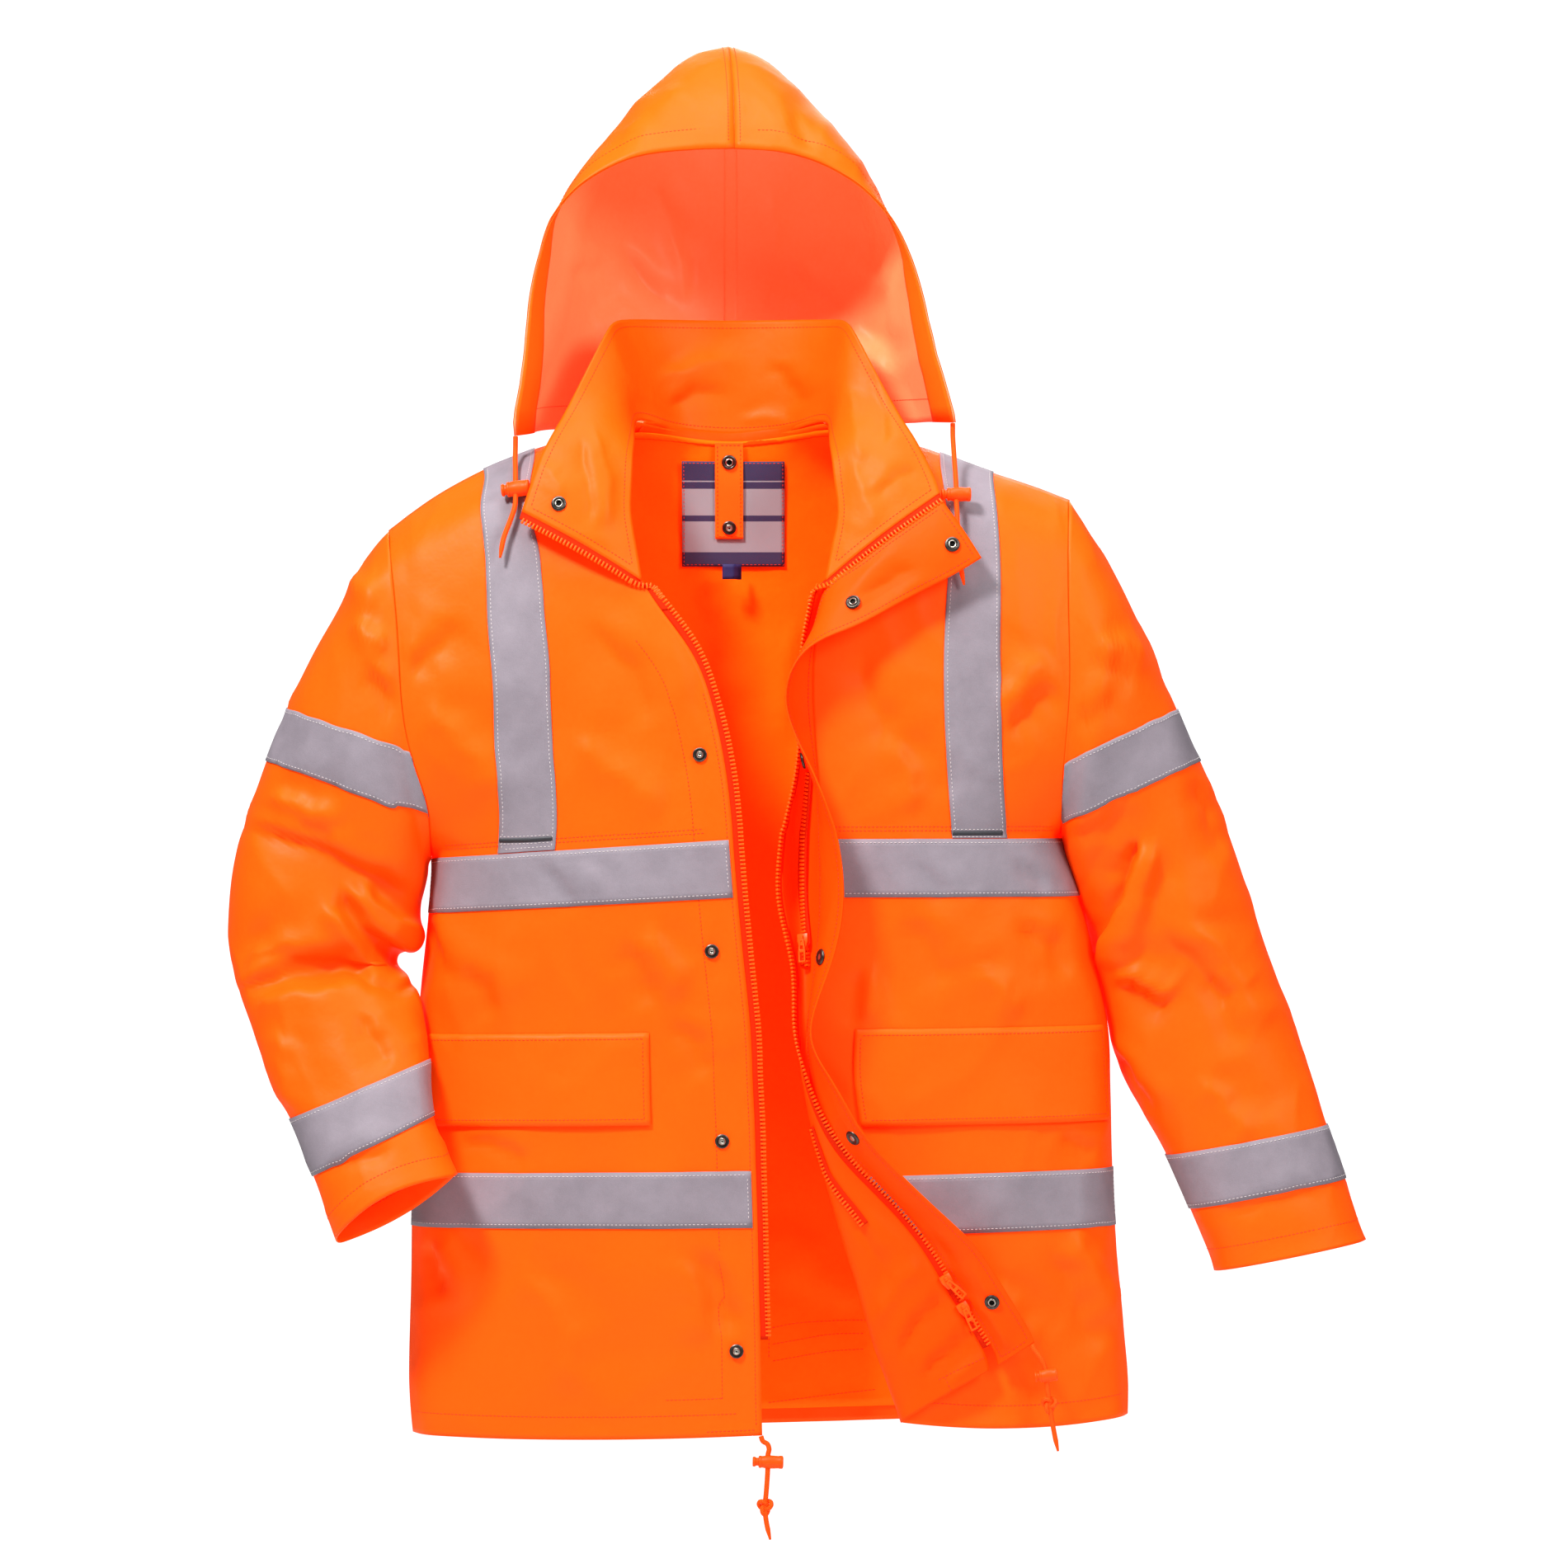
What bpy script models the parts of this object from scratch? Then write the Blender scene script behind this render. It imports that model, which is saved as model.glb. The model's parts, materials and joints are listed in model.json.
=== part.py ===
"""Hi-vis work jacket with a hood, filled out as if worn and open down the front.

Every cut-and-sewn piece is its own object: a thin wall of cloth built on a grid of points.
The tables are in millimetres, and objects are made in metres. +Z is up, the front faces -Y, and
the origin is the middle of the neck base, where the wearer holds the jacket up.
"Right" and "left" are the wearer's, so the right side is at -X.
"""

import math

import bmesh
import bpy
import numpy as np
from mathutils import Matrix

MM = 0.001

# Cloth and seams, in millimetres
SHELL = 1.8  # coated shell with its lining
HOOD_CLOTH = 1.2  # unlined shell cloth
TRIM = 1.0  # reflective tape, labels, facings
SEAM = 0.3  # gap between two pieces sewn edge to edge
LAID = 0.5  # gap under a piece that lies on a panel
CHEST_POWER = 2.4  # squareness of the torso in plan
SHOULDER_POWER = 2.6  # how suddenly the chest rolls in to the shoulder seam
SEAM_BACK = 8.0  # how far behind the middle the shoulder seam meets the neck

# Hardware, in millimetres
SNAP_RADIUS = 6.2
SNAP_HEIGHT = 2.2
SNAP_SIDES = 12
CORD_RADIUS = 2.2

COLOURS = {
    "shell": ((0.95, 0.16, 0.01), 0.55, 0.0),
    "tape": ((0.38, 0.34, 0.37), 0.35, 0.0),
    "zip": ((0.95, 0.20, 0.02), 0.40, 0.0),
    "snap": ((0.10, 0.09, 0.09), 0.35, 0.9),
    "cord": ((0.95, 0.13, 0.01), 0.60, 0.0),
    "label": ((0.03, 0.03, 0.16), 0.60, 0.0),
}


def table(columns, rows):
    """A short table as a dictionary of arrays, one for each named column."""
    return dict(zip(columns.split(), np.array(rows, float).T))


# Torso sections from the hem up to the armpit. The rows follow the edges of what is sewn on.
LOWER = table(
    "right_z left_z right_x left_x front_depth back_depth right_rise left_rise right_edge left_edge",
    [
        (-858, -842, -280, 353, 80, 72, 3, -2, 29.5, 152),  # hem
        (-822, -808, -283, 353, 82, 74, 4, -4, 28.5, 141),
        (-775, -765, -283, 349, 84, 76, 4, -5, 28, 126),
        (-724, -720, -281.5, 345, 86, 78, 3, -6, 26.5, 114),
        (-675, -674.5, -281, 341.5, 88, 80, 2, -7, 25.5, 100),  # hem tape, bottom
        (-627, -623, -280, 339, 90, 82, 4, -6, 24, 85),  # hem tape, top
        (-586, -581, -279, 338, 92, 83, 4, -4, 23, 74),  # pocket flap, bottom
        (-545, -539, -278, 337, 93, 84, 4, -3, 21, 67),
        (-505, -497, -276, 335, 94, 85, 4, -3, 19.5, 68.5),  # pocket flap, top
        (-455, -443, -272, 324, 96, 87, 9, -2, 14, 76),
        (-399, -384, -266, 310, 98, 90, 15, 0, 8, 79.5),  # chest tape, bottom
        (-350.5, -333, -263, 294, 98, 92, 17, 0, 4, 78.5),  # chest tape, top: the armpit
    ],
)
HEM_SAG = {name: np.zeros(12) for name in ("right", "left", "back")}
HEM_SAG["right"][:2] = (3, 1)
HEM_SAG["left"][:2] = (7, 3)
HEM_SAG["back"][:4] = (6, 5, 3, 1)
HEM_TAPE_ROWS = (4, 5)
POCKET_ROWS = (6, 7, 8)
CHEST_TAPE_ROWS = (10, 11)
ARMPIT_ROW = 11

# Torso sections from the armpit to the shoulder seam: share of the way up, the armhole's place,
# how much of the full width the armhole leaves, and the front's inner edge
UPPER = table(
    "share right_x left_x fullness right_edge left_edge",
    [
        (0.04, -263, 293.5, 0.97, 3, 78.5),
        (0.16, -264.5, 293, 0.86, -2, 77),
        (0.30, -277.5, 296, 0.78, -13, 73.5),
        (0.45, -286, 299, 0.74, -33, 74),
        (0.61, -289, 298.5, 0.73, -76, 85),  # the front's top corner, where the neck seam starts
        (0.77, -293, 298, 0.74, -86, 96),
        (0.91, -298, 299, 0.76, -85, 91),
        (1.00, -301.5, 301.5, 0.80, -83, 87),
    ],
)
UPPER_ROWS = len(UPPER["share"])
NECK_ROW = ARMPIT_ROW + 5

SHOULDER = {
    "right": table(
        "x z",
        [(-301.5, -60.6), (-263.5, -31.4), (-213, -4.4), (-174.5, 11), (-120, 28), (-83, 36.5)],
    ),
    "left": table(
        "x z",
        [(87, 35), (128, 26), (174.5, 12.4), (233.6, -9.5), (267, -20.4), (301.5, -33.6)],
    ),
}

# Places of the columns of points, as shares of the way from the side to the inner edge, on the
# body and at the shoulder seam. Columns 3 to 5 carry the shoulder tape.
COLUMNS = {
    ("right", "front"): table(
        "body seam",
        [(0, 0), (0.035, 0.06), (0.1, 0.2), (0.226, 0.387), (0.32, 0.49), (0.417, 0.594)]
        + [(0.56, 0.71), (0.71, 0.81), (0.86, 0.91), (1, 1)],
    ),
    ("left", "front"): table(
        "body seam",
        [(0, 0), (0.035, 0.06), (0.11, 0.17), (0.232, 0.317), (0.345, 0.43), (0.457, 0.538)]
        + [(0.6, 0.66), (0.74, 0.78), (0.88, 0.9), (1, 1)],
    ),
    ("right", "back"): table(
        "body seam",
        [(0, 0), (0.05, 0.06), (0.16, 0.2), (0.333, 0.387), (0.47, 0.49), (0.611, 0.594)]
        + [(0.72, 0.71), (0.82, 0.81), (0.91, 0.91), (1, 1)],
    ),
    ("left", "back"): table(
        "body seam",
        [(0, 0), (0.05, 0.06), (0.13, 0.17), (0.256, 0.317), (0.38, 0.43), (0.502, 0.538)]
        + [(0.63, 0.66), (0.76, 0.78), (0.88, 0.9), (1, 1)],
    ),
}
TAPE_COLUMNS = (3, 4, 5)

# The largest soft folds on the body: middle, reach along and across, turn from upright, height
BODY_FOLDS = {
    "front_right": [(-190, -430, 90, 22, 62, 5), (-150, -240, 70, 18, 20, -4), (-60, -700, 110, 26, 8, 4)],
    "front_left": [(235, -430, 80, 22, -58, 5), (215, -760, 90, 24, -14, -5), (150, -250, 70, 18, -25, -4)],
    "back": [(-150, -430, 110, 26, -60, 5), (180, -420, 100, 24, 55, 5), (20, -640, 160, 30, 4, 4)]
    + [(-210, -200, 90, 22, 18, -5), (225, -200, 90, 22, -16, -5)],
}

# Sleeve sections from the armhole to the cuff: the outer and the underarm point, the middle of
# the section in depth, and its half depth
SLEEVES = {
    "right": table(
        "outer_x outer_z inner_x inner_z middle_y half_depth",
        [
            (-319, -82, -266, -356, 0, 72),
            (-339, -117, -267, -363.5, 0, 73),
            (-371, -175, -268.5, -374, 1, 72),
            (-398.6, -233.6, -269.5, -385.5, 2, 68),
            (-417, -281, -271, -398, 3, 64),
            (-430.7, -323.4, -273, -410, 4, 60),
            (-440, -365, -275.5, -422, 4, 57),
            (-443, -405, -279.5, -433, 2, 54),
            (-442, -434, -287, -443, -4, 50),  # elbow
            (-435, -464, -281, -454, -14, 50),
            (-423, -495, -272.5, -473, -28, 51),
            (-410, -530, -268, -499, -45, 50),
            (-386, -579, -263, -526, -62, 48),  # lower tape, top
            (-364, -628, -257, -574.5, -82, 46),  # lower tape, bottom
            (-352.5, -658, -246, -600, -92, 44),
            (-341.5, -685, -236, -625, -100, 43),  # cuff
        ],
    ),
    "left": table(
        "outer_x outer_z inner_x inner_z middle_y half_depth",
        [
            (324, -73, 297.5, -343, 0, 72),
            (350, -117, 299.5, -350, 0, 72),
            (378, -175, 303, -361, 2, 70),
            (404, -234, 306.5, -376, 4, 66),
            (423, -277, 312, -393, 6, 62),
            (445, -336, 318, -412, 8, 59),
            (460.6, -380, 323, -432, 9, 57),
            (475, -422, 329, -456, 10, 55),
            (485.5, -453, 336, -483, 10, 54),
            (495.7, -485.5, 340.5, -512.5, 9, 53),
            (508.8, -525.6, 349, -544, 7, 52),
            (519, -554.8, 364, -573, 4, 51),
            (527.8, -586, 386, -612.5, 0, 50),  # lower tape, top
            (543.9, -633.6, 406.6, -660, -4, 49),  # lower tape, bottom
            (554, -664, 419, -688, -7, 47),
            (562.8, -687, 428.5, -714.7, -9, 46),  # cuff
        ],
    ),
}
CUFF_TAPE_RINGS = (13, 14)
ARMHOLE_HALF = UPPER_ROWS  # steps from the shoulder point down to the armpit
SLEEVE_SQUARE = 2.3
# Upper sleeve tapes as seen from the front: two points on each edge
ARM_TAPES = {
    "right": (((-389, -219), (-281, -256)), ((-408, -265), (-263, -317))),
    "left": (((395.7, -219), (294, -266.5)), ((416, -265), (296.4, -318))),
}
# Sleeve folds: ring, place round the sleeve in steps from the top, reach each way, height
SLEEVE_FOLDS = {
    "right": [(9, 5.5, 0.9, 2.6, -13), (7.6, 4, 0.9, 2.4, 8), (10.3, 4.5, 0.8, 2.4, 7), (5.5, 3.5, 0.9, 2.2, -6)]
    + [(9, -5.5, 1.0, 2.4, -8), (7.4, -4, 1.0, 2.6, 5), (4, -4.5, 1.2, 2.4, -5), (3, 4.5, 1.0, 1.8, 4)],
    "left": [(4.5, 5.5, 1.3, 1.5, -10), (7, 4.5, 1.0, 2.0, 6), (9, 5, 1.0, 1.8, -5), (11, 3, 1.2, 1.6, 4)]
    + [(4.5, -5.5, 1.4, 1.6, -8), (8, -4.5, 1.0, 2.0, 5), (10, -5, 1.0, 1.8, -5), (2, 4, 1.0, 1.6, 4)],
}

# Collar, from the wearer's right front end round the back of the neck to the left front end:
# the place on the neck seam, the free top edge, and how far the cloth between them bows out.
# Neck places 0 to 3 run up the right front, 3 to 7 across the back, 7 to 10 down the left front.
COLLAR = table(
    "neck top_x top_y top_z bow",
    [
        (0, -181, -76, -47, 8),
        (0.5, -173, -70, -22, 9),
        (1, -166, -63, -2, 9),
        (1.5, -157, -53, 18, 8),
        (2, -146, -38, 38, 7),
        (2.5, -131, -20, 70, 5),
        (3, -109, 2, 115, 4),
        (3.5, -94, 34, 127, 3),
        (4, -49, 62, 129, 2),
        (5, 0, 72, 129, 2),
        (6, 49, 62, 129, 2),
        (6.5, 94, 34, 127, 3),
        (7, 110, 2, 117, 4),
        (7.5, 134, -20, 70, 5),
        (8, 152, -38, 36, 7),
        (8.5, 162, -50, 20, 8),
        (9, 171, -58, 3, 9),
        (9.5, 180, -68, -16, 9),
        (10, 185, -76, -31, 8),
    ],
)
COLLAR_CLEAR = 0.6
COLLAR_RISE = 5  # points up the collar

# Hood arches from the front rim back to the nape: both feet, the top on the centre seam, and
# how pointed (over 1) or square (under 1) each side of the arch is
HOOD = table(
    "right_x left_x foot_y right_z left_z top_x top_y top_z right_point left_point",
    [
        (-192, 201, -25, 22, 34, 5, -52, 274, 0.66, 0.86),
        (-190, 198, -8, 25, 35, 4, -22, 320, 0.82, 1.02),
        (-183, 190, 12, 28, 36, 1, 22, 359, 1.0, 1.14),
        (-172, 178, 32, 30, 36, -2, 62, 373, 1.08, 1.2),
        (-155, 160, 50, 31, 36, -2, 105, 349, 0.95, 1.0),
        (-130, 135, 62, 31, 34, 0, 138, 292, 0.85, 0.88),
        (-98, 102, 68, 31, 33, 0, 152, 215, 0.8, 0.8),
        (-66, 68, 68, 31, 32, 0, 146, 138, 0.8, 0.8),
        (-42, 44, 57, 31, 31, 0, 122, 78, 0.85, 0.85),
        (-20, 22, 59, 30.5, 30.5, 0, 62.3, 30.5, 1.0, 1.0),
    ],
)
HOOD_STEPS = 8  # points up each half arch
CASING_WIDTH = 22.0

# Front facing of the left front, row by row from the hem up: a bend point and the edge that
# carries the zip. Over the pocket it folds back into a slot; lower down the corner is turned
# back over the outside.
FACING = table(
    "bend_x bend_y bend_z edge_x edge_y edge_z",
    [
        (155, -98, -838, 228, -79, -798),  # hem
        (144, -101, -806, 222, -80, -779),
        (129, -103, -764, 193.5, -86, -733),
        (117, -105, -720, 170.5, -92, -693.5),
        (103, -107, -676, 139.5, -98, -655),
        (86, -106, -624, 101, -104, -615),
        (73, -102, -582, 79, -108, -578),
        (64, -98, -541, 66, -105, -538.5),
        (65, -93, -500, 62, -99, -500),
        (66, -74, -445, 60, -90, -445),
        (64, -42, -384, 47.5, -84, -384),
        (64, -42, -333, 49.5, -84, -333),
        (65, -44, -318, 53, -84, -318),
        (69, -60, -274, 62, -86, -274),
        (69, -72, -222.5, 66, -88, -222.5),
        (70, -74, -167.5, 67, -86, -167.5),
        (81, -71, -109, 78, -80, -110),
    ],
)
FACING_SHARES = (1.0, 0.8, 0.55, 0.3, 0.12, 0.0)

# Storm flap, from the hem up to the tip of the collar end: the free edge and how far it bows.
# Its sewn edge follows the zip of the facing and then the zip of the collar end.
FLAP = table(
    "free_x free_y free_z bow",
    [
        (267.5, -88, -773, 3),  # hem
        (259, -91, -755.5, 3),
        (231, -102, -710.5, 4),
        (211, -113, -683, 5),
        (175.5, -125, -650, 4),
        (128.5, -134, -603, 0),
        (108, -141, -574, 0),
        (88, -142, -539, 0),
        (70, -141, -500, 0),
        (88, -139, -445, 4),
        (100, -138, -384, 4),
        (94, -138, -333, 4),
        (90, -138, -318, 4),
        (72, -138, -271, 5),
        (48.5, -130, -216, 6),
        (66, -132, -168.5, 6),
        (105, -122, -150, 5),  # front's top corner
        (140, -110, -132, 4),
        (168, -104, -117, 4),
        (196.5, -100, -102.5, 4),
        (221, -96, -87.5, 4),  # tip of the collar end
    ],
)
FLAP_COLUMNS = 5
TURNED_ROWS = 6  # rows of the front whose corner is turned back

# Snaps on the right front: place across and up as seen from the front
STUDS = {"chest": (-25, -259.5), "waist": (-14.5, -431), "pocket": (-5.5, -597), "hem": (7, -781)}
# Snaps on the storm flap: rows up it and columns across it
CAPS = {
    "collar": (19.5, 2.5),
    "neck": (16.45, 2.5),
    "chest": (13.15, 2.5),
    "waist": (9.15, 2.5),
    "pocket": (5.5, 2.5),
    "hem": (1.6, 2.5),
}
COLLAR_SNAP = (-148.5, -40)
TAB_SNAPS = {"upper": (-0.5, 2.0), "lower": (-0.5, -56.0)}
SNAP_GAP = 0.8

# Pocket flaps, as columns of the front panels
POCKET_COLUMNS = {
    "right": (1.13, 2, 3, 4, 5, 6, 6.93),
    "left": (1.27, 2, 3, 4, 5, 6, 7, 8, 8.24),
}
LABEL = {"x": (-42.5, -14, 15, 49), "z": (-90.5, -68, -45, -22, 2.5)}
NECK_TAB = {"x": (-13, -8, 7, 12), "z": (-66, -47, -28, -10, 12, 19)}

ZIP_WIDTH = 7.0
ZIP_THICK = 2.2

# Sliders: rows up the zip, and how far the pull tab is turned in the plane of the zip
SLIDERS = {"main": (2.3, -17), "lower": (1.72, 6)}
SLIDER_SIZE = (10.0, 14.0, 5.0)  # across the zip, along it, out from it
TAB_SIZE = (7.0, 21.0, 2.0)
INNER_ZIP = {"rows": (9, 10, 11, 12, 13), "columns": (2.0, 2.8)}
INNER_SLIDER = (9.35, 2.4)

# Cord routes from the eyelet down past the toggle to the tip
CORDS = {
    "hood_right": [
        (-188.5, -17, 21.6), (-188.5, -20, 12), (-188.5, -26, 3), (-188, -36, -7), (-187.5, -49, -17),
        (-187, -60, -28), (-187.5, -67, -42), (-192, -71, -56), (-197, -75, -70), (-200, -79, -87),
    ],
    "hood_left": [
        (197.5, -17, 33.3), (197.5, -20, 22), (198, -27, 11), (198.5, -38, 0), (199, -50, -11),
        (199.5, -60, -23), (199.5, -66, -34), (200, -71, -46), (200.5, -75, -60), (201.5, -79, -78),
        (203, -82, -94), (206, -83, -111),
    ],
    "hem_right": [
        (28.3, -79, -855.6), (30, -79.3, -860), (34, -80, -862.5), (35.5, -81, -867), (34.5, -81.5, -871.5), (34.5, -82, -878),
        (34, -82, -890), (33, -82, -904), (32, -82, -917), (33, -82, -930), (36.5, -82, -946),
    ],
    "hem_left": [
        (265.5, -86.5, -775.3), (267, -87.5, -779), (273, -89, -787), (276.5, -89, -795), (277.5, -89, -802),
        (279, -89, -814), (280.5, -89, -827), (282.5, -89, -840), (285, -89, -854), (288, -89, -868),
    ],
}
# Toggle on each cord: its height, length, radius, and how far it leans from level
TOGGLES = {
    "hood_right": (-26, 25, 7.5, 12),
    "hood_left": (-31, 26, 6.5, -4),
    "hem_right": (-878, 27, 6.0, -6),
    "hem_left": (-802, 20, 6.0, 0),
}
CORD_POINTS = 26


def shares(count):
    """Evenly spaced numbers from 0 to 1."""
    return np.linspace(0.0, 1.0, count)


def blend(low, high, share):
    return low + (high - low) * share


def unit(vectors):
    lengths = np.linalg.norm(vectors, axis=-1, keepdims=True)
    return vectors / np.maximum(lengths, 1e-9)


class Panel:
    """A piece of cloth as a grid of outer points, with rows from the hem up or the top down."""

    def __init__(self, points, around=False, turn=1.0):
        self.points = np.array(points, float)
        self.around = around
        self.turn = turn
        self.refresh()

    def refresh(self):
        """Works out the unit normal at each point, pointing out of the garment."""
        up = np.gradient(self.points, axis=0)
        if self.around:
            ahead = np.roll(self.points, -1, axis=1)
            across = ahead - np.roll(self.points, 1, axis=1)
        else:
            across = np.gradient(self.points, axis=1)
        self.normals = unit(np.cross(unit(across), unit(up))) * self.turn

    def at(self, row, column):
        """Point and normal at a place between grid points, on the flat triangle there."""
        r0 = min(int(row), self.points.shape[0] - 2)
        width = self.points.shape[1]
        c0 = int(math.floor(column))
        if not self.around:
            c0 = max(0, min(c0, width - 2))
        r, c = row - r0, column - c0
        found = []
        for values in (self.points, self.normals):
            near, far = values[:, c0 % width], values[:, (c0 + 1) % width]
            if c > r:
                place = near[r0] + (far[r0] - near[r0]) * c + (far[r0 + 1] - far[r0]) * r
            else:
                place = near[r0] + (near[r0 + 1] - near[r0]) * r + (far[r0 + 1] - near[r0 + 1]) * c
            found.append(place)
        return found[0], unit(found[1])

    def bump(self, amounts):
        """Moves each point along its normal."""
        self.points = self.points + self.normals * amounts[..., None]
        self.refresh()


def share_normals(panels):
    """Gives points that several pieces share one normal, so that their walls meet in one plane."""
    total = {}
    for panel in panels:
        for point, normal in zip(panel.points.reshape(-1, 3), panel.normals.reshape(-1, 3)):
            key = tuple(np.round(point, 1) + 0.0)
            total[key] = total.get(key, 0) + normal
    for panel in panels:
        flat = [total[tuple(np.round(point, 1) + 0.0)] for point in panel.points.reshape(-1, 3)]
        panel.normals = unit(np.array(flat)).reshape(panel.points.shape)


def inset(panel, edges, gap=SEAM):
    """Draws each named edge back by half a seam gap, towards the piece's own inside."""
    places = {
        "bottom": (np.s_[0], np.s_[1]),
        "top": (np.s_[-1], np.s_[-2]),
        "start": (np.s_[:, 0], np.s_[:, 1]),
        "end": (np.s_[:, -1], np.s_[:, -2]),
    }
    for edge in edges:
        border, inside = places[edge]
        step = unit(panel.points[inside] - panel.points[border])
        panel.points[border] += step * gap * 0.6


def material_of(finish):
    found = bpy.data.materials.get(finish)
    if found:
        return found
    colour, roughness, metallic = COLOURS[finish]
    made = bpy.data.materials.new(finish)
    made.use_nodes = True
    shader = made.node_tree.nodes["Principled BSDF"]
    shader.inputs["Base Color"].default_value = (*colour, 1.0)
    shader.inputs["Roughness"].default_value = roughness
    shader.inputs["Metallic"].default_value = metallic
    return made


def add_object(name, vertices, faces, finish):
    """A mesh object from points in millimetres."""
    mesh = bpy.data.meshes.new(name)
    mesh.from_pydata([tuple(np.array(v, float) * MM) for v in vertices], [], faces)
    mesh.materials.append(material_of(finish))
    made = bpy.data.objects.new(name, mesh)
    bpy.context.scene.collection.objects.link(made)
    mesh.shade_smooth()
    mesh.set_sharp_from_angle(angle=math.radians(40))
    return made


def rim_faces(vertices, a, b, half):
    """The two triangles of a wall's cut edge, split the same way on both sides of a seam."""
    slope = (vertices[b] - vertices[a]).dot((0.37, 0.21, 1.0))
    if slope > 0:
        return [[b, a, half + b], [a, half + a, half + b]]
    return [[b, a, half + a], [b, half + a, half + b]]


def add_wall(name, panel, thickness, finish, stand_off=0.0):
    """A closed wall of cloth: the panel's grid outside, and the same grid moved in inside."""
    rows, columns = panel.points.shape[:2]
    outer = panel.points + panel.normals * (stand_off + (thickness if stand_off else 0.0))
    inner = outer - panel.normals * thickness
    vertices = np.concatenate([outer.reshape(-1, 3), inner.reshape(-1, 3)])
    half = rows * columns
    steps = columns if panel.around else columns - 1
    faces = []
    for r in range(rows - 1):
        for c in range(steps):
            d = (c + 1) % columns
            ring = [r * columns + c, r * columns + d, (r + 1) * columns + d, (r + 1) * columns + c]
            for three in (ring[:3], [ring[0], ring[2], ring[3]]):
                faces.append(three)
                faces.append([half + i for i in reversed(three)])
    rims = [[r * columns for r in range(rows)], [r * columns + columns - 1 for r in range(rows)][::-1]]
    ends = [list(range(columns)), [(rows - 1) * columns + c for c in range(columns)][::-1]]
    if panel.around:
        ends = [end + end[:1] for end in (ends[0], ends[1])]
        rims = []
    for line in [*ends, *[rim[::-1] for rim in rims]]:
        for a, b in zip(line, line[1:]):
            faces += rim_faces(vertices, a, b, half)
    if panel.turn < 0:
        faces = [face[::-1] for face in faces]
    return add_object(name, vertices, faces, finish)


def laid_on(panel, rows, columns):
    """A piece that lies on a panel, from the panel's own points."""
    grid = [[panel.at(r, c) for c in columns] for r in rows]
    made = Panel([[place[0] for place in line] for line in grid], turn=panel.turn)
    made.normals = np.array([[place[1] for place in line] for line in grid])
    return made


def back_height(row, x):
    """Height of a section of the back, from one side seam to the other with a slight sag."""
    across = (x - LOWER["right_x"][row]) / (LOWER["left_x"][row] - LOWER["right_x"][row])
    z = blend(LOWER["right_z"][row], LOWER["left_z"][row], across)
    return z - HEM_SAG["back"][row] * 4 * across * (1 - across)


def torso_columns(side, face):
    """Points of one side's half of the front or back, from the side seam inwards."""
    seam_line = SHOULDER[side]
    columns = COLUMNS[side, face]
    sign = -1.0 if face == "front" else 1.0
    depth = LOWER[face + "_depth"]
    edge_low = LOWER[side + "_edge"]
    edge_high = UPPER[side + "_edge"]
    if face == "back":
        edge_low = np.full(len(edge_low), edge_high[-1])
        edge_high = np.full(UPPER_ROWS, edge_high[-1])
    grid = []
    for row in range(ARMPIT_ROW + 1):
        middle = (LOWER["right_x"][row] + LOWER["left_x"][row]) / 2
        half = (LOWER["left_x"][row] - LOWER["right_x"][row]) / 2
        x = blend(LOWER[side + "_x"][row], edge_low[row], columns["body"])
        if face == "front":
            z = LOWER[side + "_z"][row] + LOWER[side + "_rise"][row] * columns["body"]
            z = z - HEM_SAG[side][row] * 4 * columns["body"] * (1 - columns["body"])
        else:
            z = back_height(row, x)
        reach = np.clip(np.abs(x - middle) / half, 0.0, 1.0)
        y = sign * depth[row] * (1 - reach**CHEST_POWER) ** (1 / CHEST_POWER)
        grid.append(np.stack([x, y, z], axis=-1))
    z_low = grid[-1][:, 2]
    for i in range(UPPER_ROWS):
        share = UPPER["share"][i]
        middle = (UPPER["right_x"][i] + UPPER["left_x"][i]) / 2
        half = (UPPER["left_x"][i] - UPPER["right_x"][i]) / 2 / UPPER["fullness"][i]
        place = blend(columns["body"], columns["seam"], share)
        x = blend(UPPER[side + "_x"][i], edge_high[i], place)
        x_seam = blend(UPPER[side + "_x"][-1], edge_high[-1], columns["seam"])
        z_seam = np.interp(x_seam, seam_line["x"], seam_line["z"])
        z = blend(z_low, z_seam, share)
        reach = np.clip(np.abs(x - middle) / half, 0.0, 1.0)
        roll = (1 - share**SHOULDER_POWER) ** (1 / SHOULDER_POWER)
        y = sign * depth[-1] * roll * (1 - reach**CHEST_POWER) ** (1 / CHEST_POWER)
        grid.append(np.stack([x, y + SEAM_BACK * columns["seam"] * share, z], axis=-1))
    return np.array(grid)


def back_middle(right, left):
    """Columns across the middle of the back, up to the back neck seam."""
    grid = []
    for row in range(ARMPIT_ROW + 1 + UPPER_ROWS):
        share = 0.0 if row <= ARMPIT_ROW else UPPER["share"][row - ARMPIT_ROW - 1]
        line = []
        for across, neck_z, neck_share in ((0.25, 28.5, 0.9), (0.5, 25.5, 0.86), (0.75, 28, 0.9)):
            x = blend(right[row, -1, 0], left[row, -1, 0], across)
            base = min(row, ARMPIT_ROW)
            z = blend(back_height(base, x), neck_z, share)
            middle = (LOWER["right_x"][base] + LOWER["left_x"][base]) / 2
            half = (LOWER["left_x"][base] - LOWER["right_x"][base]) / 2
            reach = abs(x - middle) / half
            depth = LOWER["back_depth"][base] * (1 - reach**CHEST_POWER) ** (1 / CHEST_POWER)
            roll = (1 - (share * neck_share) ** SHOULDER_POWER) ** (1 / SHOULDER_POWER)
            line.append((x, depth * roll, z))
        grid.append(line)
    return np.array(grid)


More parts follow.
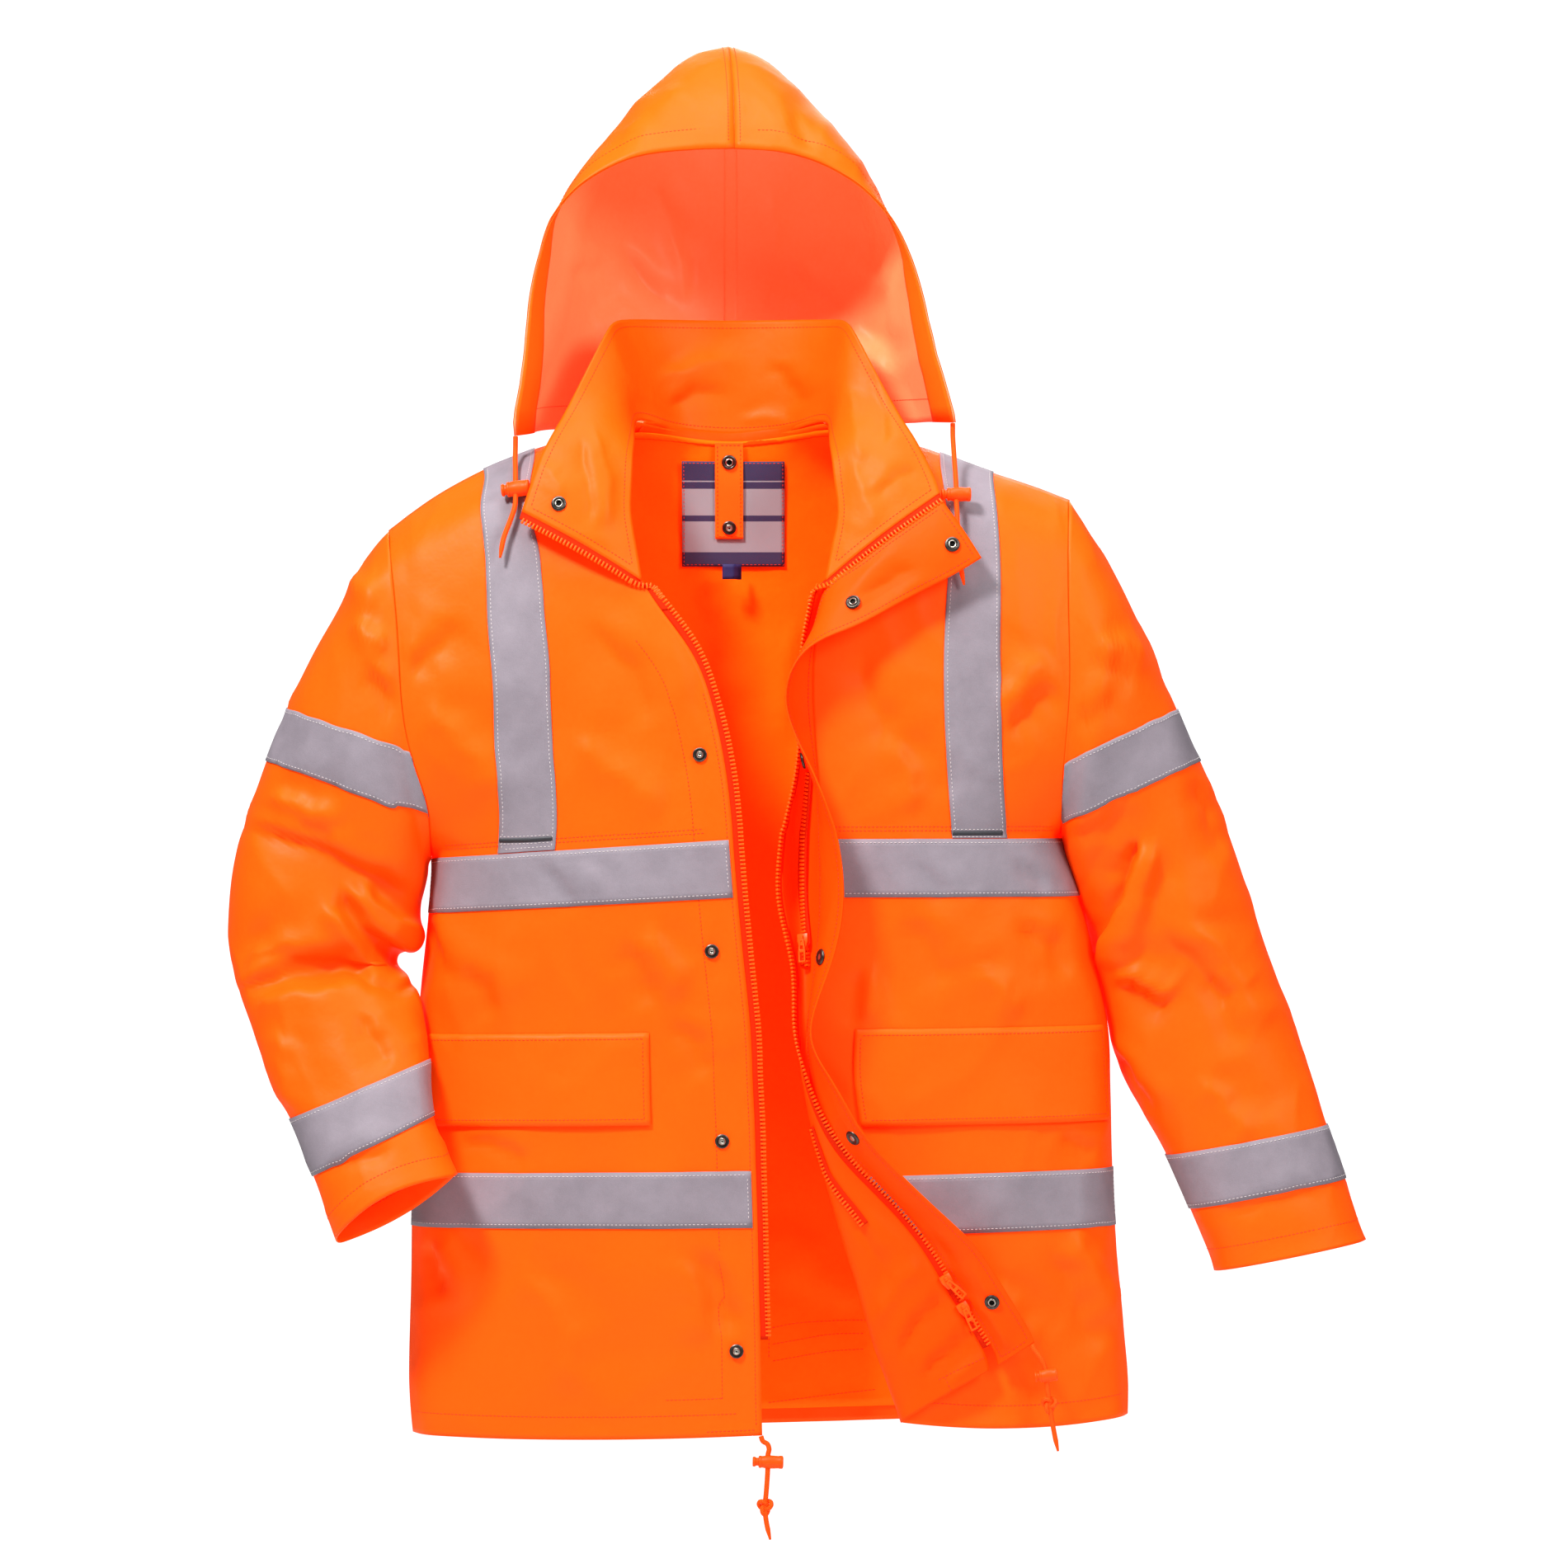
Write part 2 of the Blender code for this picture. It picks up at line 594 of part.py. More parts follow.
def add_body_folds(panel, folds):
    """Raises or sinks the panel in long soft folds."""
    amounts = np.zeros(panel.points.shape[:2])
    for x, z, along, across, turn, height in folds:
        dx, dz = panel.points[..., 0] - x, panel.points[..., 2] - z
        c, s = math.cos(math.radians(turn)), math.sin(math.radians(turn))
        run, side = dz * c + dx * s, dx * c - dz * s
        amounts += height * np.exp(-((run / along) ** 2) - (side / across) ** 2)
    amounts[:, [0, -1]] = 0.0
    amounts[[0, -1], :] = 0.0
    panel.bump(amounts)


def make_torso():
    """The two fronts and the back, sharing their side and shoulder seams."""
    right_front = torso_columns("right", "front")
    left_front = torso_columns("left", "front")
    right_back = torso_columns("right", "back")
    left_back = torso_columns("left", "back")
    middle = back_middle(right_back, left_back)
    back = np.concatenate([left_back, middle[:, ::-1], right_back[:, ::-1]], axis=1)
    panels = {
        "front_right": Panel(right_front),
        "front_left": Panel(left_front[:, ::-1]),
        "back": Panel(back),
    }
    for name, panel in panels.items():
        add_body_folds(panel, BODY_FOLDS[name])
    return panels


def armhole(panels, side):
    """The armhole as one loop, from the shoulder point down the front and up the back."""
    front = panels["front_" + side].points[:, 0 if side == "right" else -1]
    back = panels["back"].points[:, -1 if side == "right" else 0]
    down = front[ARMPIT_ROW:][::-1]
    up = back[ARMPIT_ROW:]
    return np.concatenate([down, up[1:-1]])


def make_sleeve(panels, side):
    """A tube from the armhole loop through one ring for each section."""
    rows = SLEEVES[side]
    loop = armhole(panels, side)
    steps = len(loop)
    turns = np.arange(steps) * 2 * math.pi / steps
    rings = [loop]
    power = 2 / SLEEVE_SQUARE
    for i in range(len(rows["outer_x"])):
        outer = np.array([rows["outer_x"][i], rows["middle_y"][i], rows["outer_z"][i]])
        inner = np.array([rows["inner_x"][i], rows["middle_y"][i], rows["inner_z"][i]])
        middle, reach = (outer + inner) / 2, (outer - inner) / 2
        up = np.sign(np.cos(turns)) * np.abs(np.cos(turns)) ** power
        forward = np.sign(np.sin(turns)) * np.abs(np.sin(turns)) ** power
        depth = np.array([0.0, -rows["half_depth"][i], 0.0])
        rings.append(middle + up[:, None] * reach + forward[:, None] * depth)
    sleeve = Panel(rings, around=True, turn=-1.0 if side == "right" else 1.0)
    ring, step = np.meshgrid(np.arange(len(rings)), np.arange(steps), indexing="ij")
    amounts = np.zeros(ring.shape)
    for at_ring, at_step, ring_reach, step_reach, height in SLEEVE_FOLDS[side]:
        gap = (step - at_step + steps / 2) % steps - steps / 2
        amounts += height * np.exp(-(((ring - at_ring) / ring_reach) ** 2) - (gap / step_reach) ** 2)
    amounts[[0, 1, -1]] = 0.0
    sleeve.bump(amounts)
    return sleeve


def tape_rows(sleeve, column, line):
    """Where a column of the sleeve crosses a straight line seen from the front."""
    (x0, z0), (x1, z1) = line
    low = int(column)
    points = blend(sleeve.points[:, low], sleeve.points[:, low + 1], column - low)
    side = (points[:, 0] - x0) * (z1 - z0) - (points[:, 2] - z0) * (x1 - x0)
    for r in range(len(side) - 1):
        if side[r] * side[r + 1] <= 0 and side[r] != side[r + 1]:
            return r + side[r] / (side[r] - side[r + 1])
    return 0.0


def add_arm_tape(sleeve, side):
    """The upper sleeve tape, round the outside of the sleeve from armhole seam to armhole seam."""
    top_line, bottom_line = ARM_TAPES[side]
    columns = [c / 2 for c in range(-10, 11)]
    grid = []
    for share in shares(5):
        line = []
        for column in columns:
            top = max(tape_rows(sleeve, abs(column), top_line), 0.12)
            bottom = max(tape_rows(sleeve, abs(column), bottom_line), top + 0.5)
            line.append(sleeve.at(blend(top, bottom, share), column))
        grid.append(line)
    made = Panel([[place[0] for place in line] for line in grid], turn=sleeve.turn)
    made.normals = np.array([[place[1] for place in line] for line in grid])
    add_wall(f"sleeve_tape_upper_{side}", made, TRIM, "tape", LAID * 3.4)


def add_tapes(panels, sleeves):
    """Reflective tape round the chest and hem, over the shoulders and round the sleeves."""
    back = panels["back"]
    last = back.points.shape[1] - 1
    columns = [0.1, *range(1, last), last - 0.1]
    add_wall("chest_tape_back", laid_on(back, CHEST_TAPE_ROWS, columns), TRIM, "tape", LAID)
    add_wall("hem_tape_back", laid_on(back, HEM_TAPE_ROWS, columns), TRIM, "tape", LAID)
    for side in ("right", "left"):
        front = panels["front_" + side]
        end = front.points.shape[1] - 1
        columns = [0.1, *range(1, end), end - 0.1]
        for name, rows in (("chest", CHEST_TAPE_ROWS), ("hem", HEM_TAPE_ROWS)):
            add_wall(f"{name}_tape_{side}", laid_on(front, rows, columns), TRIM, "tape", LAID)
        add_cuff_tape(sleeves[side], side)
        add_arm_tape(sleeves[side], side)
        add_shoulder_tape(front, back, side)


def add_shoulder_tape(front, back, side):
    """One strip from the chest tape over the shoulder seam and down the back to the chest tape."""
    end, last = front.points.shape[1] - 1, back.points.shape[1] - 1
    front_columns = TAPE_COLUMNS if side == "right" else [end - c for c in TAPE_COLUMNS][::-1]
    back_columns = [last - c for c in TAPE_COLUMNS] if side == "right" else TAPE_COLUMNS[::-1]
    up = [ARMPIT_ROW + 0.05, *range(ARMPIT_ROW + 1, ARMPIT_ROW + UPPER_ROWS)]
    front_part = laid_on(front, [*up, ARMPIT_ROW + UPPER_ROWS], front_columns)
    back_part = laid_on(back, up[::-1], back_columns)
    made = Panel(np.concatenate([front_part.points, back_part.points]))
    made.normals = np.concatenate([front_part.normals, back_part.normals])
    add_wall(f"shoulder_tape_{side}", made, TRIM, "tape", LAID)


def add_cuff_tape(sleeve, side):
    ring = CUFF_TAPE_RINGS
    made = Panel(sleeve.points[ring[0] : ring[1] + 1], around=True, turn=sleeve.turn)
    made.normals = sleeve.normals[ring[0] : ring[1] + 1]
    add_wall(f"sleeve_tape_lower_{side}", made, TRIM, "tape", LAID)


def neck_loop(panels):
    """Points and normals of the body's neck edge, from the right front round to the left front."""
    right, left, back = panels["front_right"], panels["front_left"], panels["back"]
    middle = back.points.shape[1] // 2
    found = []
    for values in ("points", "normals"):
        up = getattr(right, values)[NECK_ROW:, -1]
        across = getattr(back, values)[-1, middle - 1 : middle + 2][::-1]
        down = getattr(left, values)[NECK_ROW:, 0][::-1]
        found.append(np.concatenate([up, across, down]))
    return found


def make_collar(panels):
    """The stand collar: it stands at the back, and its ends lie open over the fronts."""
    points, normals = neck_loop(panels)
    places = np.arange(len(points))
    edge = points + normals * COLLAR_CLEAR
    neck = np.stack([np.interp(COLLAR["neck"], places, edge[:, k]) for k in range(3)], axis=-1)
    top = np.stack([COLLAR["top_x"], COLLAR["top_y"], COLLAR["top_z"]], axis=-1)
    flat = Panel([neck, top], turn=-1.0)
    grid = []
    for share in shares(COLLAR_RISE):
        bow = COLLAR["bow"] * math.sin(math.pi * share)
        grid.append(blend(neck, top, share) - flat.normals[0] * bow[:, None])
    return Panel(grid, turn=-1.0)


def hood_half(side):
    """Points of half the hood, one column for each arch and one row for each step up it."""
    angles = shares(HOOD_STEPS + 1) * math.pi / 2
    grid = []
    for i in range(len(HOOD["foot_y"])):
        foot = np.array([HOOD[side + "_x"][i], HOOD["foot_y"][i], HOOD[side + "_z"][i]])
        top = np.array([HOOD["top_x"][i], HOOD["top_y"][i], HOOD["top_z"][i]])
        power = HOOD[side + "_point"][i]
        out = np.clip(np.cos(angles), 0, 1) ** power
        rise = np.sin(angles) ** power
        arch = foot + (top - foot) * rise[:, None]
        arch[:, 0] = top[0] + (foot[0] - top[0]) * out
        grid.append(arch)
    return np.array(grid).transpose(1, 0, 2)


def add_hood():
    right = hood_half("right")
    left = hood_half("left")
    halves = {"hood_right": Panel(right, turn=-1.0), "hood_left": Panel(left, turn=1.0)}
    share_normals(halves.values())
    rim = {name: panel.points[:, :4].copy() for name, panel in halves.items()}
    normals = {name: panel.normals[:, :4].copy() for name, panel in halves.items()}
    for name, panel in halves.items():
        inset(panel, ["top"])
        add_wall(name, panel, HOOD_CLOTH, "shell")
    lines = []
    for name in ("hood_right", "hood_left"):
        for row in range(HOOD_STEPS + 1):
            walk, normal = rim[name][row], normals[name][row]
            runs = np.linalg.norm(np.diff(walk, axis=0), axis=1)
            length = np.concatenate([[0.0], np.cumsum(runs)])
            places = []
            for width in (0.3, CASING_WIDTH * 0.5, CASING_WIDTH):
                point = [np.interp(width, length, walk[:, k]) for k in range(3)]
                facing = [np.interp(width, length, normal[:, k]) for k in range(3)]
                places.append((np.array(point), unit(np.array(facing))))
            lines.append(places)
    lines = lines[: HOOD_STEPS + 1] + lines[HOOD_STEPS + 1 : -1][::-1]
    casing = Panel([[place[0] for place in line] for line in lines], turn=-1.0)
    casing.normals = np.array([[place[1] for place in line] for line in lines])
    casing.points -= casing.normals * (HOOD_CLOTH + LAID)
    add_wall("hood_casing", casing, TRIM, "shell")
    return halves


def facing_panel(panels):
    """The facing, from the edge that carries the zip through its bend to the front's edge."""
    front = panels["front_left"].points[: NECK_ROW + 1, 0]
    bend = np.stack([FACING["bend_x"], FACING["bend_y"], FACING["bend_z"]], axis=-1)
    end = np.stack([FACING["edge_x"], FACING["edge_y"], FACING["edge_z"]], axis=-1)
    columns = [
        front * (1 - share) ** 2 + bend * 2 * share * (1 - share) + end * share**2
        for share in FACING_SHARES
    ]
    return Panel(np.stack(columns, axis=1))


def zip_beyond(panel, edge_column, next_column, thickness=SHELL):
    """The middle line beyond a panel's edge, the way out from it and the way it faces."""
    out = unit(panel.points[:, edge_column] - panel.points[:, next_column])
    facing = panel.normals[:, edge_column]
    return panel.points[:, edge_column] - facing * thickness / 2, out, facing


def flap_panel(front, facing, collar):
    """The storm flap: sewn beyond the zip where the corner is turned back and on the collar end,
    and on the front's own edge between them."""
    edge, out, face = zip_beyond(facing, 0, 1)
    collar_edge, collar_out, collar_face = zip_beyond(collar, -1, -2)
    beyond = edge + out * (ZIP_WIDTH + SEAM * 4)
    on_front = facing.points[:, -1] + front.normals[: NECK_ROW + 1, 0] * COLLAR_CLEAR
    on_front[TURNED_ROWS : TURNED_ROWS + 2] += (4.0, -1.2, 0.0)
    on_collar = collar_edge + collar_out * (ZIP_WIDTH + SEAM * 3)
    sewn = np.concatenate([beyond[:TURNED_ROWS], on_front[TURNED_ROWS:-1], on_collar])
    free = np.stack([FLAP["free_x"], FLAP["free_y"], FLAP["free_z"]], axis=-1)
    flat = Panel(np.stack([sewn, free], axis=1))
    grid = []
    for share in shares(FLAP_COLUMNS):
        bow = FLAP["bow"] * math.sin(math.pi * share)
        grid.append(blend(sewn, free, share) + flat.normals[:, 0] * bow[:, None])
    return Panel(np.array(grid).transpose(1, 0, 2))


def add_strip(name, edge, outward, facing, finish="zip"):
    """A narrow strip along an edge: it starts a seam gap off the edge and reaches outward."""
    edge, outward, facing = np.array(edge), unit(np.array(outward)), unit(np.array(facing))
    near = edge + outward * SEAM * 1.5
    far = near + outward * ZIP_WIDTH
    half = facing * ZIP_THICK / 2
    corners = np.stack([near + half, far + half, far - half, near - half], axis=1)
    count = len(edge)
    faces = [[0, 1, 2, 3], [4 * count - 1, 4 * count - 2, 4 * count - 3, 4 * count - 4]]
    for r in range(count - 1):
        for k in range(4):
            m = (k + 1) % 4
            faces.append([4 * r + m, 4 * r + k, 4 * r + 4 + k, 4 * r + 4 + m])
    made = add_object(name, corners.reshape(-1, 3), faces, finish)
    recalculate(made)
    return made


def recalculate(made):
    """Turns every face outwards."""
    mesh = bmesh.new()
    mesh.from_mesh(made.data)
    bmesh.ops.recalc_face_normals(mesh, faces=mesh.faces)
    mesh.to_mesh(made.data)
    mesh.free()


def hit(panel, x, z, front=True):
    """The point and normal of a panel's flat faces behind a place seen from the front."""
    best = None
    target = np.array([x, z])
    rows, columns = panel.points.shape[:2]
    for r in range(rows - 1):
        for c in range(columns - 1):
            corners = [(r, c), (r, c + 1), (r + 1, c + 1), (r + 1, c)]
            for three in ((0, 1, 2), (0, 2, 3)):
                places = [corners[k] for k in three]
                a, b, d = (panel.points[p][[0, 2]] for p in places)
                base = np.array([b - a, d - a]).T
                size = np.linalg.det(base)
                if abs(size) < 1e-6:
                    continue
                u, v = np.linalg.solve(base, target - a)
                if min(u, v, 1 - u - v) < -1e-6:
                    continue
                weights = np.array([1 - u - v, u, v])
                corner_points = np.array([panel.points[p] for p in places])
                point = weights @ corner_points
                normal = unit(np.cross(corner_points[1] - corner_points[0], corner_points[2] - corner_points[0]))
                if best is None or (point[1] < best[0][1]) == front:
                    best = (point, normal * (-np.sign(normal[1]) if front else np.sign(normal[1])))
    return best


def add_disc(name, centre, axis, radius=SNAP_RADIUS, height=SNAP_HEIGHT):
    """A snap: a low round boss with a smaller raised ring, its base on the cloth."""
    axis = unit(np.array(axis, float))
    side = unit(np.cross(axis, (0.0, 0.0, 1.0)))
    over = np.cross(axis, side)
    rings = []
    for share, lift in ((0.96, 0.0), (1.0, 0.35), (0.82, 1.0), (0.42, 1.0), (0.36, 0.62)):
        for k in range(SNAP_SIDES):
            turn = 2 * math.pi * k / SNAP_SIDES
            out = side * math.cos(turn) + over * math.sin(turn)
            rings.append(centre + out * radius * share + axis * height * lift)
    count = len(rings) // SNAP_SIDES
    faces = [list(range(SNAP_SIDES)), [SNAP_SIDES * (count - 1) + k for k in range(SNAP_SIDES)]]
    for level in range(count - 1):
        for k in range(SNAP_SIDES):
            m = (k + 1) % SNAP_SIDES
            low, high = level * SNAP_SIDES, (level + 1) * SNAP_SIDES
            faces.append([low + k, low + m, high + m, high + k])
    made = add_object(name, rings, faces, "snap")
    recalculate(made)
    return made


def smooth_route(points, count):
    """A smooth curve through hand-placed points, as evenly spaced points along it."""
    route = np.array(points, float)
    padded = np.concatenate([[2 * route[0] - route[1]], route, [2 * route[-1] - route[-2]]])
    fine = []
    for i in range(1, len(padded) - 2):
        a, b, c, d = padded[i - 1 : i + 3]
        for t in np.arange(0.0, 1.0, 0.1):
            fine.append(
                0.5 * (2 * b + (c - a) * t + (2 * a - 5 * b + 4 * c - d) * t**2 + (3 * b - a - 3 * c + d) * t**3)
            )
    fine.append(route[-1])
    fine = np.array(fine)
    runs = np.linalg.norm(np.diff(fine, axis=0), axis=1)
    length = np.concatenate([[0.0], np.cumsum(runs)])
    at = shares(count) * length[-1]
    return np.stack([np.interp(at, length, fine[:, k]) for k in range(3)], axis=-1)


def add_cord(name, route):
    """A round cord as a bevelled curve with filled ends."""
    points = smooth_route(route, CORD_POINTS)
    curve = bpy.data.curves.new(name, "CURVE")
    curve.dimensions = "3D"
    curve.bevel_depth = CORD_RADIUS * MM
    curve.bevel_resolution = 2
    curve.use_fill_caps = True
    spline = curve.splines.new("POLY")
    spline.points.add(len(points) - 1)
    for place, point in zip(spline.points, points):
        place.co = (*(point * MM), 1.0)
    curve.materials.append(material_of("cord"))
    made = bpy.data.objects.new(name, curve)
    bpy.context.scene.collection.objects.link(made)
    return points


def add_toggle(name, cord_points, height, length, radius, lean):
    """A barrel toggle across its cord, with a hole that the cord runs through."""
    order = np.argsort(cord_points[:, 2])
    centre = np.array([np.interp(height, cord_points[order, 2], cord_points[order, k]) for k in range(3)])
    near = np.argmin(np.abs(cord_points[:, 2] - height))
    along = unit(cord_points[min(near + 2, len(cord_points) - 1)] - cord_points[max(near - 2, 0)])
    across = np.array([math.cos(math.radians(lean)), 0.0, math.sin(math.radians(lean))])
    across = unit(across - along * across.dot(along))
    third = np.cross(along, across)
    bpy.ops.mesh.primitive_cylinder_add(vertices=14, radius=radius * MM, depth=length * MM)
    barrel = bpy.context.object
    barrel.name = "toggle_" + name
    barrel.matrix_world = matrix((third, along, across), centre)
    hole_size = CORD_RADIUS + 0.8
    bpy.ops.mesh.primitive_cylinder_add(vertices=12, radius=hole_size * MM, depth=radius * 4 * MM)
    hole = bpy.context.object
    hole.name = "hole_" + name
    hole.matrix_world = matrix((across, third, along), centre)
    hole.hide_render = True
    hole.display_type = "WIRE"
    cut = barrel.modifiers.new("hole", "BOOLEAN")
    cut.operation = "DIFFERENCE"
    cut.object = hole
    barrel.data.materials.append(material_of("cord"))


def matrix(columns, centre):
    """A world matrix from three unit axes and a centre in millimetres."""
    rows = np.eye(4)
    rows[:3, :3] = np.stack(columns, axis=-1)
    rows[:3, 3] = np.array(centre) * MM
    return Matrix(rows.tolist())


def add_block(name, size, columns, centre, finish, bevel=1.2):
    """A box with bevelled edges, laid along three axes."""
    bpy.ops.mesh.primitive_cube_add(size=1.0)
    made = bpy.context.object
    made.name = name
    for vertex in made.data.vertices:
        vertex.co = [vertex.co[k] * size[k] * MM for k in range(3)]
    made.matrix_world = matrix(columns, centre)
    rounding = made.modifiers.new("bevel", "BEVEL")
    rounding.width = bevel * MM
    rounding.segments = 1
    made.data.materials.append(material_of(finish))
    return made


def frame_on(panel, row, column):
    """Axes at a place on a zip: across it, down it and towards the viewer."""
    point, normal = panel.at(row, column)
    down = unit(panel.at(row - 0.3, column)[0] - panel.at(row + 0.3, column)[0])
    away = normal * -np.sign(normal[1])
    away = unit(away - down * away.dot(down))
    return point, np.cross(down, away), down, away


def add_snap(name, place, gap=SNAP_GAP):
    point, normal = place
    return add_disc(name, point + normal * gap, normal)


def inner_face(panel, thickness):
    """The panel's own inner face, as a grid to seat things on."""
    made = Panel(panel.points - panel.normals * thickness, around=panel.around, turn=panel.turn)
    return made


def add_lining(back):
    """The mesh lining inside the back, close to the shell at the neck and free below it."""
    rows = [0.35, 2, 4, 6, 8, 10, 11, 13, 15, 16, 17, 18, 18.9]
    columns = [0.6, *range(1, 22), 21.4]
    lining = laid_on(back, rows, columns)
    depth = np.interp(rows, [0, 2, 16, 18.9], [1.5, 4.0, 3.0, 0.5])
    depth = np.tile(depth[:, None], (1, len(columns)))
    depth[-2:, 11:15] += 3.8  # slacker round the tight corner of the neck
    lining.points = lining.points - lining.normals * (SHELL + depth[..., None])
    add_wall("lining_back", lining, TRIM, "shell")
    return inner_face(lining, TRIM)


def add_inside_piece(name, places, seats, gap, finish):
    """A flat piece that hangs inside the back, in front of each surface that lies behind it."""
    grid = []
    for z in places["z"]:
        line = []
        for x in places["x"]:
            heights = (z, min(z, LABEL["z"][-1] - 0.1))
            found = [hit(seat, x, height) for seat in seats for height in heights]
            behind = min(place[0][1] for place in found if place is not None)
            line.append((x, behind - gap - TRIM, z))
        grid.append(line)
    made = Panel(grid)
    add_wall(name, made, TRIM, finish)
    return made


def add_zips(panels, facing, collar):
    right = panels["front_right"]
    for name, panel, rows, edge, inside in (
        ("zip_right", right, slice(2, NECK_ROW + 1), -1, -2),
        ("zip_left", facing, slice(1, NECK_ROW + 1), 0, 1),
        ("zip_right_collar", collar, slice(0, None), 0, 1),
        ("zip_left_collar", collar, slice(0, None), -1, -2),
    ):
        line, out, face = zip_beyond(panel, edge, inside)
        start = 1 if "collar" in name else 0
        line, out, face = line[rows][start:], out[rows][start:], face[rows][start:]
        if not start:
            line = line.copy()
            line[-1] = blend(line[-2], line[-1], 0.9)
        else:
            line = line.copy()
            first = zip_beyond(panel, edge, inside)[0][0]
            line = np.concatenate([[blend(first, line[0], 0.35)], line])
            out, face = np.concatenate([out[:1], out]), np.concatenate([face[:1], face])
        add_strip(name, line, out, face)


def add_slider(name, middle, across, down, away, turn):
    """A slider body on a zip, with a pull tab that hangs in front of it from its hinge."""
    body = middle + away * (0.4 + SLIDER_SIZE[2] / 2)
    add_block(f"slider_{name}", SLIDER_SIZE, (across, down, away), body, "zip")
    c, s = math.cos(math.radians(turn)), math.sin(math.radians(turn))
    along = down * c + across * s
    axis = across * c - down * s
    hinge = body + away * (SLIDER_SIZE[2] / 2 + 0.4 + TAB_SIZE[2] / 2)
    centre = hinge + along * (TAB_SIZE[1] / 2 - 1.0)
    tab = add_block(f"pull_tab_{name}", TAB_SIZE, (axis, along, away), centre, "zip", 0.8)
    move_origin(tab, hinge)


def add_sliders(facing):
    line, out, face = zip_beyond(facing, 0, 1)
    rows = np.arange(len(line))
    middle_line = line + out * (ZIP_WIDTH / 2 + SEAM)
    for name, (row, turn) in SLIDERS.items():
        point, across, down, away = frame_on(facing, row, 0)
        middle = np.array([np.interp(row, rows, middle_line[:, k]) for k in range(3)])
        add_slider(name, middle + away * ZIP_THICK / 2, across, down, away, turn)
    inner = laid_on(facing, INNER_ZIP["rows"], INNER_ZIP["columns"])
    add_wall("zip_inner", inner, ZIP_THICK, "zip", LAID)
    point, across, down, away = frame_on(facing, *INNER_SLIDER)
    add_slider("inner", point + away * (LAID + ZIP_THICK), across, down, away, 0)


def move_origin(made, point):
    """Puts an object's origin on its hinge without moving its mesh."""
    place = made.matrix_world.copy()
    place.translation = Matrix.Translation([float(k) * MM for k in point]).translation
    shift = place.inverted() @ made.matrix_world
    made.data.transform(shift)
    made.matrix_world = place


def main():
    for old in list(bpy.data.objects):
        bpy.data.objects.remove(old, do_unlink=True)

    panels = make_torso()
    sleeves = {side: make_sleeve(panels, side) for side in ("right", "left")}
    facing = facing_panel(panels)
    share_normals([*panels.values(), *sleeves.values(), facing])
    collar = make_collar(panels)

    add_tapes(panels, sleeves)
    for side in ("right", "left"):
        pocket = laid_on(panels["front_" + side], POCKET_ROWS, POCKET_COLUMNS[side])
        add_wall(f"pocket_flap_{side}", pocket, SHELL, "shell", LAID)
    for name, place in STUDS.items():
        add_snap(f"snap_front_{name}", hit(panels["front_right"], *place))

    add_zips(panels, facing, collar)
    add_sliders(facing)
    flap = flap_panel(panels["front_left"], facing, collar)
    add_wall("storm_flap", flap, SHELL, "shell")
    for name, place in CAPS.items():
        add_snap(f"snap_flap_{name}", flap.at(*place), SNAP_GAP + 0.5 * (name == "neck"))
    add_snap("snap_collar", hit(inner_face(collar, SHELL), *COLLAR_SNAP))

    seat = add_lining(panels["back"])
    label = add_inside_piece("label", LABEL, [seat], 0.9, "label")
    neck_tab = add_inside_piece("neck_tab", NECK_TAB, [seat, label], 1.5, "shell")
    for name, place in TAB_SNAPS.items():
        add_snap(f"snap_neck_{name}", hit(neck_tab, *place), 0.4)

    # The seam gaps come last, so that what lies on a panel follows its full shape
    for side, sleeve in sleeves.items():
        inset(sleeve, ["bottom"])
        add_wall(f"sleeve_{side}", sleeve, SHELL, "shell")
    inset(panels["front_right"], ["start", "top"])
    inset(panels["front_left"], ["start", "end", "top"])
    inset(panels["back"], ["start", "end", "top"])
    inset(facing, ["end"])
    for name, panel in panels.items():
        add_wall(name, panel, SHELL, "shell")
    add_wall("facing_left", facing, SHELL, "shell")
    add_wall("collar", collar, SHELL, "shell")
    add_hood()

    for name, route in CORDS.items():
        points = add_cord("cord_" + name, route)
        add_toggle(name, points, *TOGGLES[name])


main()
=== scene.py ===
# %% [markdown]
# # A hooded hi-vis work jacket, standing open as if worn
# This lesson dresses a jacket whose cut-and-sewn pieces already exist as plain walls of cloth.
# Each wall is taken over as a fine mesh, smoothed, creased and given its thickness, and then
# what is sewn on follows: tape, stitches, zips, snaps, cords and the label.
# Tables are in millimetres, meshes in metres. +Z is up and the front faces -Y.

import json
import math

import bmesh
import bpy
import numpy as np
from mathutils import Matrix, Vector, noise
from mathutils.bvhtree import BVHTree
from mathutils.interpolate import poly_3d_calc
from mathutils.kdtree import KDTree


